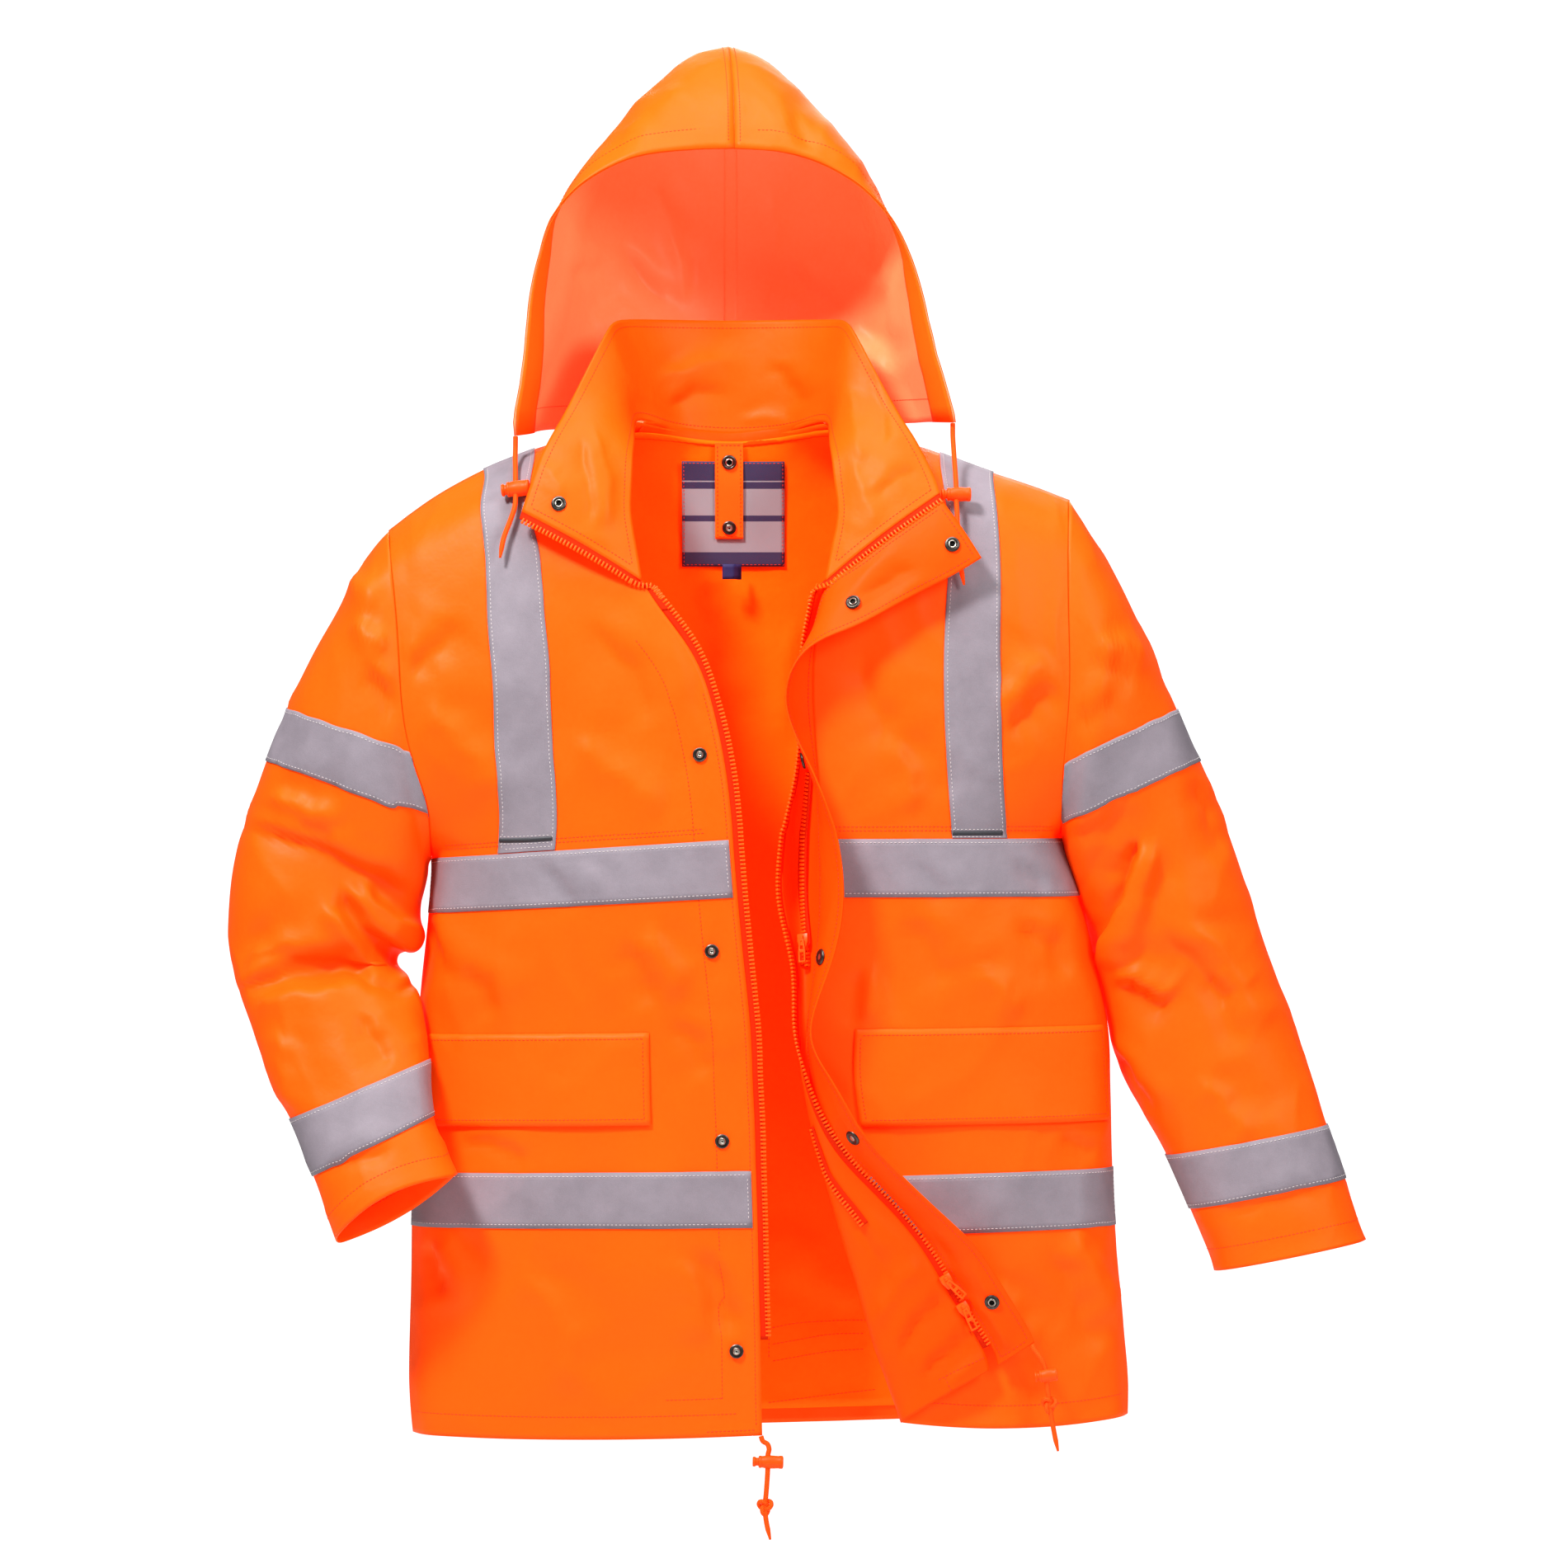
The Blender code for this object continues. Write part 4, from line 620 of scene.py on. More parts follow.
def kd_tree(points):
    """A tree that finds the nearest of many points."""
    tree = KDTree(len(points))
    for i, point in enumerate(points):
        tree.insert(point, i)
    tree.balance()
    return tree


def crease(made, node, seed):
    """Moves the points of a panel's skin out and in by its creases and its unevenness."""
    points, normals = coords(made), normals_of(made)
    heights = crease_heights(points, normals, CREASES[node])
    heights = np.tanh(heights * DEEPER.get(node, DEEPER_ELSEWHERE) / DEEPEST) * DEEPEST
    heights += unevenness(points, seed) * UNEVEN.get(node, UNEVEN_ELSEWHERE)
    fade = np.clip(border_distance(made) / (FLAT_BESIDE_SEAM * MM), LEFT_AT_SEAM, 1.0)
    set_coords(made, points + normals * (heights * fade * MM)[:, None])


# %% [markdown]
# ## The panels
# Front, back, sleeves, hood, collar, facing and flap are one skin each. They are creased here,
# but stay thin for now: the pieces that are sewn on need the outer skin to lie on.

# %% Make and crease the skins of all panels
FRONT = (0, -1, 0)
SEEN_IN_FRONT = ("storm_flap", "facing_left", "lining_back")  # taken from their front side
PANELS = dict.fromkeys(
    ("back", "front_right", "front_left", "sleeve_right", "sleeve_left", "collar"), SHELL
)
PANELS |= {"hood_right": HOOD_CLOTH, "hood_left": HOOD_CLOTH}
PANELS |= {"storm_flap": SHELL, "facing_left": SHELL, "lining_back": TRIM}
skins = {}
for number, (node, thickness) in enumerate(PANELS.items()):
    towards = FRONT if node in SEEN_IN_FRONT else None
    skins[node] = fine_skin(f"{node}_cloth", node, thickness, towards)
    crease(skins[node], node, 3.1 * number)

# %% [markdown]
# Two panels are then pulled into their worn shape. The right cuff is seen a little from below, so
# its front edge arches up and its back edge hangs down, which opens it. The hood's sides draw in
# below the brim, where the casing holds them.

# %% Open the right cuff
CUFF_TIPS = (-347.0, -690.0), (-238.0, -629.0)
CUFF_FADE = 38.0
FRONT_UP, BACK_DOWN = 15.0, 9.0
(x0, z0), (x1, z1) = CUFF_TIPS
cuff_width = math.hypot(x1 - x0, z1 - z0)
along_cuff = np.array([(x1 - x0) / cuff_width, 0, (z1 - z0) / cuff_width])
up_sleeve = np.array([-along_cuff[2], 0, along_cuff[0]])
places = coords(skins["sleeve_right"]) / MM
offset = places - np.array([x0, 0, z0])
along = np.clip(offset @ along_cuff / cuff_width, 0, 1)
above = np.clip(offset @ up_sleeve, 0, None)
arch = np.sin(math.pi * along) ** 0.8 * np.exp(-((above / CUFF_FADE) ** 2))
front = front_share(normals_of(skins["sleeve_right"]))
lift = arch * (FRONT_UP * front - BACK_DOWN * (1 - front))
set_coords(skins["sleeve_right"], (places + lift[:, None] * up_sleeve) * MM)

# %% Lean the left sleeve on the body's side, just clear of it
LEANS_AT, LEANS_OVER, LEANS_BY = -440.0, 85.0, 5.0  # height, half the stretch and how far
places, turned = coords(skins["sleeve_left"]), normals_of(skins["sleeve_left"])
near_middle = np.exp(-(((places[:, 2] / MM - LEANS_AT) / LEANS_OVER) ** 2))
places[:, 0] -= LEANS_BY * MM * near_middle * np.clip(-turned[:, 0], 0, 1)
set_coords(skins["sleeve_left"], places)

# %% Draw the hood in
HOOD_DRAWN_IN = {  # height: how far the right and the left side come in
    37: (0, 0), 66: (6, 7), 95: (9, 14), 124: (9.5, 16), 153: (8, 14), 183: (6.5, 11),
    212: (1.5, 6.5), 241: (1, 4.5), 270: (3.5, 6), 314: (3, 6), 343: (2.5, 6.5), 358: (0, 1),
}
HOOD_FLARE = {37: 15, 95: 13, 153: 9, 212: 4, 270: 0}  # how far the wall comes in behind the rim
RIM = 24.0
HOOD_MIDDLE = 3.0
SLICE = 9.0  # half of the height that one measure of the hood takes in
DRAWN_AT = sorted(HOOD_DRAWN_IN)
drawn_in = {}
for number, (side, way) in enumerate((("right", -1), ("left", 1))):
    places = coords(skins[f"hood_{side}"]) / MM
    out = (places[:, 0] - HOOD_MIDDLE) * way
    slices = [np.abs(places[:, 2] - z) < SLICE for z in DRAWN_AT]
    widest = [out[level].max(initial=1.0) for level in slices]
    rim = [places[level, 1].min() for level in slices]
    drawn_in[way] = widest, [HOOD_DRAWN_IN[z][number] for z in DRAWN_AT], rim


def draw_in(made):
    """Brings the sides of the hood in, by height, and further behind the rim."""
    places = coords(made) / MM
    for way, (widest, steps, rim) in drawn_in.items():
        out = np.clip((places[:, 0] - HOOD_MIDDLE) * way, 0, None)
        share = np.clip(out / np.interp(places[:, 2], DRAWN_AT, widest), 0, 1) ** 1.3
        behind = np.clip((places[:, 1] - np.interp(places[:, 2], DRAWN_AT, rim)) / RIM, 0, 1)
        flare = np.interp(places[:, 2], list(HOOD_FLARE), list(HOOD_FLARE.values()))
        come_in = np.interp(places[:, 2], DRAWN_AT, steps) + flare * np.sin(behind * math.pi / 2)
        places[:, 0] -= way * share * come_in
    set_coords(made, places * MM)


draw_in(skins["hood_right"])
draw_in(skins["hood_left"])

# %% [markdown]
# ## Laying things on cloth
# Tape, flaps and stitches have to follow every crease of the panel below them. A surface finds
# the nearest place on one or more skins, with a normal that turns smoothly from point to point.
# A piece is laid on it by moving each of its points there and then out by a small lift.

# %% A smooth surface to lay things on
class Surface:
    """The outer surface of one or more skins."""

    def __init__(self, *made):
        self.points, self.normals, self.faces = [], [], []
        for piece in made:
            start = len(self.points)
            self.points += [v.co.copy() for v in piece.data.vertices]
            self.normals += [v.normal.copy() for v in piece.data.vertices]
            self.faces += [[start + k for k in f.vertices] for f in piece.data.polygons]
        self.tree = BVHTree.FromPolygons(self.points, self.faces)

    def at(self, place):
        """The nearest point and the smooth normal there."""
        point, _, index, _ = self.tree.find_nearest(Vector(place))
        corners = self.faces[index]
        weights = poly_3d_calc([self.points[k] for k in corners], point)
        normal = Vector((0, 0, 0))
        for weight, k in zip(weights, corners):
            normal += self.normals[k] * weight
        return point, normal.normalized()

    def from_front(self, x, z):
        """The first place that is met when looking along +Y at x and z in millimetres."""
        start = Vector((x * MM, -1.0, z * MM))
        point = self.tree.ray_cast(start, Vector((0, 1, 0)))[0]
        return self.at(point or start + Vector((0, 0.92, 0)))  # just in front if it misses


def lay_on(made, surface, lift):
    """Moves each point of a skin to a surface and out by a lift, a number or a rule."""
    places = coords(made)
    for i, place in enumerate(places):
        point, normal = surface.at(place)
        height = lift(Vector(place)) if callable(lift) else lift
        places[i] = point + normal * height * MM
    set_coords(made, places)


surfaces = {node: Surface(skin) for node, skin in skins.items()}


# %% Keep the lining inside the back, and the left sleeve outside the body
def keep_off(made, surface, least, most, goal, low=-math.inf, high=math.inf):
    """Moves the points of a skin that stand between two heights over a surface to a third."""
    places = coords(made)
    for i, place in enumerate(places):
        if low * MM < place[2] < high * MM:
            point, normal = surface.at(place)
            if least * MM < (Vector(place) - point).dot(normal) < most * MM:
                places[i] = point + normal * goal * MM
    set_coords(made, places)
    return Surface(made)


INSIDE = -(SHELL + TRIM + 1.0)  # the lining's place under the outer skin of the back
BESIDE, DEEP_IN = 1.2, 14.0  # the sleeve's place beside the body, and the most it may cut in
BESIDE_FROM, BESIDE_TO = -620, -322
body_side = Surface(skins["front_left"], skins["back"])
surfaces["lining_back"] = keep_off(
    skins["lining_back"], surfaces["back"], INSIDE, math.inf, INSIDE
)
surfaces["sleeve_left"] = keep_off(
    skins["sleeve_left"], body_side, -DEEP_IN, BESIDE, BESIDE, BESIDE_FROM, BESIDE_TO
)


def thicken(made, thickness, inner_slot=0):
    """Gives an open skin its wall, inwards."""
    wall = {"thickness": thickness * MM, "offset": -1.0, "material_offset": inner_slot}
    apply(made, "SOLIDIFY", use_quality_normals=True, **wall)


# %% [markdown]
# ## Borders and stitches
# Topstitching runs beside an edge at an even distance. So each line starts from the border of a
# skin, steps inwards, and is laid back on the cloth. One stitch is a small stretched ball of
# thread. It is made once and copied along each line, and each piece's stitches are one mesh.

# %% The borders of a skin
def border_loops(made):
    """The borders of a skin as ordered loops of (point, normal, way in)."""
    mesh = bmesh.new()
    mesh.from_mesh(made.data)
    left = {edge for edge in mesh.edges if edge.is_boundary}
    loops = []
    while left:
        edge = left.pop()
        start, vert = edge.verts
        line = [(start, edge), (vert, edge)]
        while vert is not start:
            edge = next((e for e in vert.link_edges if e in left), None)
            if edge is None:
                break
            left.remove(edge)
            vert = edge.other_vert(vert)
            line.append((vert, edge))
        found = []
        count = len(line) - 1
        for i in range(count):
            vert, edge = line[i]
            ahead = line[(i + 1) % count][0].co - line[i - 1 if i else count - 1][0].co
            way = vert.normal.cross(ahead).normalized()
            inside = edge.link_faces[0].calc_center_median() - vert.co
            way = way if way.dot(inside) > 0 else -way
            found.append((vert.co.copy(), vert.normal.copy(), way))
        loops.append(found)
    mesh.free()
    return loops


def split_runs(loop, good):
    """The stretches of a loop whose places are all good, joined across its start."""
    count = len(loop)
    if all(good):
        return [[*loop, loop[0]]]
    first = next(i for i in range(count) if not good[i])
    runs, run = [], []
    for step in range(1, count + 1):
        i = (first + step) % count
        if good[i]:
            run.append(loop[i])
        elif run:
            runs.append(run)
            run = []
    return [run for run in runs if len(run) > 2]


# %% Lines beside a border
def lines_beside(made, inset, keep=None):
    """Lines at a distance inside a skin's border, in millimetres, where a rule keeps them."""
    surface = Surface(made)
    loops = border_loops(made)
    tree = kd_tree([point for loop in loops for point, _, _ in loop])
    lines = []
    for loop in loops:
        good = [keep is None or keep(point / MM) for point, _, _ in loop]
        for run in split_runs(loop, good):
            part = []
            for point, _, way in run:
                place = surface.at(point + way * inset * MM)
                if tree.find(place[0])[2] > inset * 0.9 * MM:
                    part.append(place)
                    continue
                lines.append(part)
                part = []
            lines.append(part)
    return [line for line in lines if len(line) > 2]


def along_line(line, pitch):
    """Evenly spaced (point, normal, direction) along a line of (point, normal)."""
    points = np.array([place[0] for place in line])
    normals = np.array([place[1] for place in line])
    runs = np.linalg.norm(np.diff(points, axis=0), axis=1)
    length = np.concatenate([[0.0], np.cumsum(runs)])
    at = np.arange(pitch * 0.5, length[-1] - pitch * 0.3, pitch)

    def mix(values, where):
        return np.stack([np.interp(where, length, values[:, k]) for k in range(3)], axis=-1)

    before, after = at - pitch * 0.4, np.minimum(at + pitch * 0.4, length[-1])
    ahead = unit(mix(points, after) - mix(points, before))
    return mix(points, at), unit(mix(normals, at)), ahead


# %% One thing modelled once, and its copies along lines
def keep_mesh(made):
    """The points and faces of a modelled object, which is then removed."""
    points = coords(made)
    faces = [list(face.vertices) for face in made.data.polygons]
    bpy.data.objects.remove(made)
    return points, faces


def copies(name, model, places):
    """One object of many copies of a model: X goes along, Y across and Z out of the cloth."""
    points, faces = model
    all_points, all_faces = [], []
    for centre, normal, ahead in places:
        across = np.cross(normal, ahead)
        across = across / np.linalg.norm(across)
        ahead = np.cross(across, normal)
        base = len(all_points) * len(points)
        all_points.append(centre + points @ np.array([ahead, across, normal]))
        all_faces += [[base + k for k in face] for face in faces]
    return mesh_object(name, np.concatenate(all_points), all_faces)


# %% One stitch, and stitches along lines
bpy.ops.mesh.primitive_ico_sphere_add(subdivisions=1, radius=0.5)
stitch_ball = bpy.context.object
STITCH_SIZE = (2.6, 0.8, 0.55)
stitch_ball.data.transform(Matrix.Diagonal((*(k * MM for k in STITCH_SIZE), 1)))
STITCH = keep_mesh(stitch_ball)
STITCH_PITCH, STITCH_LIFT = 3.6, 0.1
stitched = {}


def stitch(name, lines, through=0.0):
    """Stitches along lines, and again on the far side of a wall that they go through."""
    places = []
    for line in lines:
        for centre, normal, ahead in zip(*along_line(line, STITCH_PITCH * MM)):
            places.append((centre + normal * STITCH_LIFT * MM, normal, ahead))
            if through:
                far = centre - normal * (through + STITCH_LIFT) * MM
                places.append((far, -normal, ahead))
    stitched[name] = copies(f"stitches_{name}", STITCH, places)
    put_on(stitched[name])


print("one stitch has", len(STITCH[1]), "faces")

# %% [markdown]
# ## Reflective tape
# The bands are one strip each, sewn down along both long edges with pale thread. A strip keeps
# the outline of its plain solid and is laid on the creased panel, so it wrinkles with it.

# %% Which panels each tape lies on
SIDES = ("right", "left")
TAPES = {
    f"{band}_tape_{panel.removeprefix('front_')}": (panel,)
    for panel in ("back", "front_right", "front_left")
    for band in ("chest", "hem")
}
TAPES |= {f"shoulder_tape_{side}": (f"front_{side}", "back") for side in SIDES}
TAPES |= {
    f"sleeve_tape_{band}_{side}": (f"sleeve_{side}",)
    for side in SIDES
    for band in ("upper", "lower")
}
TAPE_WIDTH, TAPE_WALL, TAPE_LIFT = 50.0, 0.6, 1.3
TAPE_STITCHES = 3.4  # from its edge
RUN_ON = 18, 2.5  # steps and their length, by which an upper sleeve tape runs on to its seam
print(len(TAPES), "tapes")

# %% Straighten the right shoulder tape
# How far its two edges move in x below each height, from the bottom up
EDGE_MOVES = np.array([
    (-400, 0, 0), (-345, 0, 0), (-321, -1.3, -0.7), (-292, -3.1, -3.1), (-263, -1.6, -3.6),
    (-234, 0.3, -1.5), (-205, 3.7, 0.5), (-176, 6.1, 6.1), (-147, 8.2, 12), (-119, 9, 17),
    (-90, 7.5, 16), (-75, 5.5, 13), (-40, 0, 0), (0, 0, 0),
])
MOVED_AT = np.arange(-400, 0.0)
SOFTEN = np.hanning(33) / np.hanning(33).sum()
MOVES = [
    np.convolve(np.interp(MOVED_AT, EDGE_MOVES[:, 0], EDGE_MOVES[:, k]), SOFTEN, "same")
    for k in (1, 2)
]


def straighten(strip):
    """Moves the two edges of the right shoulder tape sideways on the front."""
    places = coords(strip)
    front = places[:, 1] < 0
    x, z = places[front, 0] / MM, places[front, 2] / MM
    near = np.exp(-(((z[:, None] - z) / 8) ** 2))
    middle = near @ x / near.sum(axis=1)
    across = np.clip((x - middle) / TAPE_WIDTH + 0.5, 0, 1)
    inner, outer = (np.interp(z, MOVED_AT, moves) for moves in MOVES)
    places[front, 0] += (inner + (outer - inner) * across) * MM
    set_coords(strip, places)


# %% Run a tape on to a seam
def lengthen(strip, ground, way, steps, step):
    """Runs the ends of a strip that point along +X or -X on over its ground, up to its border."""
    mesh = bmesh.new()
    mesh.from_mesh(strip.data)
    edges, outs = [], []
    for edge in mesh.edges:
        if edge.is_boundary:
            a, b = (vert.co for vert in edge.verts)
            run = (b - a).normalized()
            out = (a + b) / 2 - edge.link_faces[0].calc_center_median()
            out = (out - run * out.dot(run)).normalized()
            if abs(out.z) < 0.75 and out.x * way > 0.25:  # an end, and not a long edge
                edges.append(edge)
                outs.append(((a + b) / 2, out))
    last = {vert for edge in edges for vert in edge.verts}
    heading = {}
    for vert in last:
        near = [out for place, out in outs if (place - vert.co).length < 60 * MM]
        heading[vert] = sum(near, Vector()).normalized()
    for _ in range(steps):
        grown = bmesh.ops.extrude_edge_only(mesh, edges=edges)["geom"]
        verts = {k for k in grown if isinstance(k, bmesh.types.BMVert)}
        ahead = {}
        for vert in verts:
            near = [edge.other_vert(vert) for edge in vert.link_edges]
            old = next(other for other in near if other in last)
            if heading[old] is None:
                vert.co, ahead[vert] = old.co, None
                continue
            vert.co = ground.at(old.co + heading[old] * step * MM)[0]
            moved = vert.co - old.co
            ahead[vert] = moved.normalized() if moved.length > 0.7 * step * MM else None
        edges = [k for k in grown if isinstance(k, bmesh.types.BMEdge) and set(k.verts) <= verts]
        last, heading = verts, ahead
    bmesh.ops.remove_doubles(mesh, verts=mesh.verts, dist=0.3 * MM)
    mesh.to_mesh(strip.data)
    mesh.free()


# %% Lay and stitch the tapes
tapes = {}
for node, below in TAPES.items():
    strip = fine_skin(f"{node}_strip", node, TRIM, None, 2 if "upper" in node else 3)
    ground = Surface(*[skins[panel] for panel in below])
    if node == "shoulder_tape_right":
        straighten(strip)
    off_the_seam = None
    if "upper" in node:
        seam = kd_tree([v for loop in border_loops(skins[below[0]]) for v, _, _ in loop])
        lay_on(strip, ground, 0.0)
        lengthen(strip, ground, 1 if "right" in node else -1, *RUN_ON)
        off_the_seam = lambda p: seam.find(p * MM)[2] > 5 * MM
    lay_on(strip, ground, TAPE_LIFT)
    stitch(node, lines_beside(strip, TAPE_STITCHES, off_the_seam))
    thicken(strip, TAPE_WALL)
    put_on(strip, node)
    tapes[node] = strip

# %% [markdown]
# ## Pocket flaps, label and neck tab
# A pocket flap is sewn along its top and stands off a little towards its lower edge, which gives
# the soft shadow below it. The label and the neck tab hang free inside the back.

# %% Pocket flaps
FLAP_LIFT, FLAP_WAVE, FLAP_SUNK = 1.9, 0.6, 0.9
FLAP_STITCHES, FLAP_WALL = 5.5, 1.5
flaps = {}
for side in SIDES:
    node = f"pocket_flap_{side}"
    flap = fine_skin(f"{node}_cloth", node, SHELL, FRONT)
    heights = coords(flap)[:, 2]
    top, bottom = heights.max(), heights.min()

    def stand(place, top=top, bottom=bottom):
        down = (top - place.z) / (top - bottom)
        wave = math.sin(place.x / MM * 0.045 + 1.0) * FLAP_WAVE
        sunk = FLAP_SUNK * math.exp(-((down / 0.06) ** 2))
        return FLAP_LIFT + (FLAP_LIFT + wave) * max(down, 0.0) ** 1.4 - sunk

    lay_on(flap, surfaces[f"front_{side}"], stand)
    stitch(node, lines_beside(flap, FLAP_STITCHES))
    thicken(flap, FLAP_WALL)
    put_on(flap, node)
    flaps[node] = flap

# %% Label, its size tab, and the neck tab
label = fine_skin("label_cloth", "label", TRIM, FRONT)
neck_tab = fine_skin("neck_tab_cloth", "neck_tab", TRIM, FRONT)
for made, node, inset, wall in ((label, "label", 1.6, 0.5), (neck_tab, "neck_tab", 2.2, TRIM)):
    stitch(node, lines_beside(made, inset))
    thicken(made, wall)
    put_on(made, node)

SIZE_TAB = (-6.5, 10.5, -102.5, -89.0)  # x from and to, z from and to
TAB_ROWS, TAB_COLUMNS = 5, 7
x0, x1, z0, z1 = (k * MM for k in SIZE_TAB)
label_ground = Surface(label)
tab_points = []
for i in range(TAB_ROWS):
    for j in range(TAB_COLUMNS):
        x = x0 + (x1 - x0) * j / (TAB_COLUMNS - 1)
        z = z0 + (z1 - z0) * i / (TAB_ROWS - 1)
        y = label_ground.at((x, -0.2, max(z, z1 - 1 * MM)))[0].y
        y -= (0.25 if i < TAB_ROWS - 1 else 0.5) * MM
        tab_points.append((x, y + 0.9 * MM * math.sin((z1 - z) * 110), z))
size_tab = mesh_object("size_tab", tab_points, grid_faces(TAB_ROWS, TAB_COLUMNS))
thicken(size_tab, 0.4)
put_on(size_tab)

# %% [markdown]
# ## Seams and hems
# The stitch lines of the panels: hems and cuffs, the double line of the yoke above the chest
# tape, the edges of collar, flap, placket and hood, and the hood's centre seam. All but the yoke
# lines run beside a border at a distance inwards.

# %% Topstitching of the panels
def below_line(*corners):
    """A rule that keeps places under a line seen from the front."""
    (x0, z0), (x1, z1) = corners

    def keep(place):
        return place.z < z0 + (z1 - z0) * (place.x - x0) / (x1 - x0)

    return keep


def line_from_front(ground, places):
    """A line on a surface through points given as x and z, seen from the front."""
    return [ground.from_front(x, z) for x, z, _ in smooth_route([(*k, 0) for k in places], 60)]


SEAM_LINES = [  # name, panel, distance from its border, where, and the wall it goes through
    ("hem_front_right", "front_right", 20, below_line((-280, -840), (20, -835)), SHELL),
    ("hem_front_left", "front_left", 20, below_line((150, -800), (360, -815)), SHELL),
    ("hem_back", "back", 20, below_line((-280, -845), (360, -825)), SHELL),
    ("cuff_sleeve_right", "sleeve_right", 20, below_line((-360, -660), (-230, -590)), SHELL),
    ("cuff_sleeve_left", "sleeve_left", 20, below_line((420, -680), (570, -650)), SHELL),
    ("collar", "collar", 7, None, SHELL),
    ("flap", "storm_flap", 5, None, SHELL),
    ("front_edge", "front_right", 5, lambda p: p.x > -20 and p.z < -60, 0),
    ("placket", "front_right", 34, lambda p: p.x > -60 and p.z < -130, 0),
]
for node in ("hood_right", "hood_left"):
    SEAM_LINES += [
        (f"{node}_rim", node, 21, lambda p: p.y < 60 and abs(p.x) > 9, HOOD_CLOTH),
        (f"{node}_seam", node, 5, lambda p: abs(p.x) < 6 and p.z > 60, 0),
    ]
for name, node, inset, where, wall in SEAM_LINES:
    stitch(name, lines_beside(skins[node], inset, where), wall)

# %% The yoke's double lines
YOKE_TOPS = {"right": (-250.0, -20.0), "left": (85.0, 285.0)}  # x from and to
YOKE_LINES = 7.0, 10.5  # above the chest tape
for side, (x_from, x_to) in YOKE_TOPS.items():
    edge = Surface(tapes[f"chest_tape_{side}"])
    above = []
    for x in np.linspace(x_from, x_to, 9):
        z = max(point.z / MM for point in edge.points if abs(point.x / MM - x) < 4)
        above.append((x, z))
    for out in YOKE_LINES:
        places = [(x, z + out) for x, z in above]
        stitch(f"yoke_{side}_{out:.0f}", [line_from_front(surfaces[f"front_{side}"], places)])
print("stitch lines:", len(stitched))

# %% [markdown]
# ## The hood's lining strips
# Inside the hood, a casing for the drawstring runs round the opening, and a taped strip covers
# the centre seam. Both are strips laid on the inside of the hood.

# %% Hood casing and seam tape
hood_inside = Surface(skins["hood_right"], skins["hood_left"])
casing = fine_skin("hood_casing_strip", "hood_casing", TRIM, None, 2)
draw_in(casing)
lay_on(casing, hood_inside, -(HOOD_CLOTH + 0.5))
thicken(casing, 0.6)
put_on(casing, "hood_casing")

seam_loop = [
    (point, normal, way)
    for loop in border_loops(skins["hood_left"])
    for point, normal, way in loop
    if abs(point.x) < 7 * MM and point.z > 100 * MM and point.y > -45 * MM
]
seam_loop.sort(key=lambda place: math.atan2(place[0].z - 0.2, place[0].y - 0.02))
HALF_STRIP, STRIP_COLUMNS = 6.0, 5
strip_points = []
for point, normal, _ in seam_loop:
    for k in range(STRIP_COLUMNS):
        side = (k / 2 - 1) * HALF_STRIP * MM
        place, out = hood_inside.at(point + Vector((side, 0, 0)))
        strip_points.append(place - out * (HOOD_CLOTH + 0.35 + 0.25 * (k in (1, 3))) * MM)
seam_strip = mesh_object(
    "hood_seam_strip", strip_points, grid_faces(len(seam_loop), STRIP_COLUMNS)
)
thicken(seam_strip, 0.3)
put_on(seam_strip)
print("seam strip:", len(seam_loop), "rows")

# %% [markdown]
# ## Lines that only show on one side
# The front opening has more stitched lines: the turned-back corner of the left hem, the welt of a
# pocket low in the lining, and a dark bar across each shoulder tape above the chest tape.
# Each is given by a few points as seen from the front and dropped onto its cloth.

# %% Corner and lining welt
lining_ground = surfaces["lining_back"]
facing_ground = surfaces["facing_left"]
CORNER_LINES = [
    [(183, -806), (203, -796), (223, -787), (243, -778), (259, -770)],
    [(189, -803), (193, -812), (197, -820)],
]
stitch("hem_corner", [line_from_front(facing_ground, line) for line in CORNER_LINES])
WELT_LINES = [
    [(34, -772), (60, -767), (90, -765), (124, -764)],
    [(38, -786), (60, -782), (90, -777), (122, -776)],
    [(38, -801), (60, -797), (90, -792), (122, -790)],
    [(36, -773), (35, -786), (35, -800)],
]
stitch("lining_welt", [line_from_front(lining_ground, line) for line in WELT_LINES])
stitch("lining_hem", [line_from_front(lining_ground, [(34, -838), (80, -832), (130, -826)])])

# %% Shoulder bars
BAR_HALF, BAR_LIFT, BAR_WALL = 1.9, 0.35, 0.3
BAR_STITCHES = 3.2  # above and below its middle


def laid_band(name, ground, line):
    """A narrow strip along a line of (point, normal) on its ground."""
    points = []
    rows = [place[0] for place in line]
    for i, (point, normal) in enumerate(line):
        ahead = rows[min(i + 1, len(rows) - 1)] - rows[max(i - 1, 0)]
        across = normal.cross(ahead).normalized()
        for k in (-BAR_HALF, 0, BAR_HALF):
            place, out = ground.at(point + across * k * MM)
            points.append(place + out * BAR_LIFT * MM)
    made = mesh_object(name, points, grid_faces(len(line), 3))
    if sum(face.normal.dot(ground.at(face.center)[1]) for face in made.data.polygons) < 0:
        made.data.flip_normals()
    thicken(made, BAR_WALL)
    put_on(made)
    return made


# A dark strip across the lower end of each shoulder tape
BARS = {
    "right": [(-202.5, -334.5), (-178, -334), (-154, -332.6)],
    "left": [(189, -328), (240, -328)],
}
bars, bar_edges = {}, []
for side, places in BARS.items():
    ground = Surface(tapes[f"shoulder_tape_{side}"])
    bars[side] = laid_band(f"shoulder_bar_{side}", ground, line_from_front(ground, places))
    for out in (-BAR_STITCHES, BAR_STITCHES):
        bar_edges.append(line_from_front(ground, [(x, z + out) for x, z in places]))
stitch("shoulder_tape_ends", bar_edges)

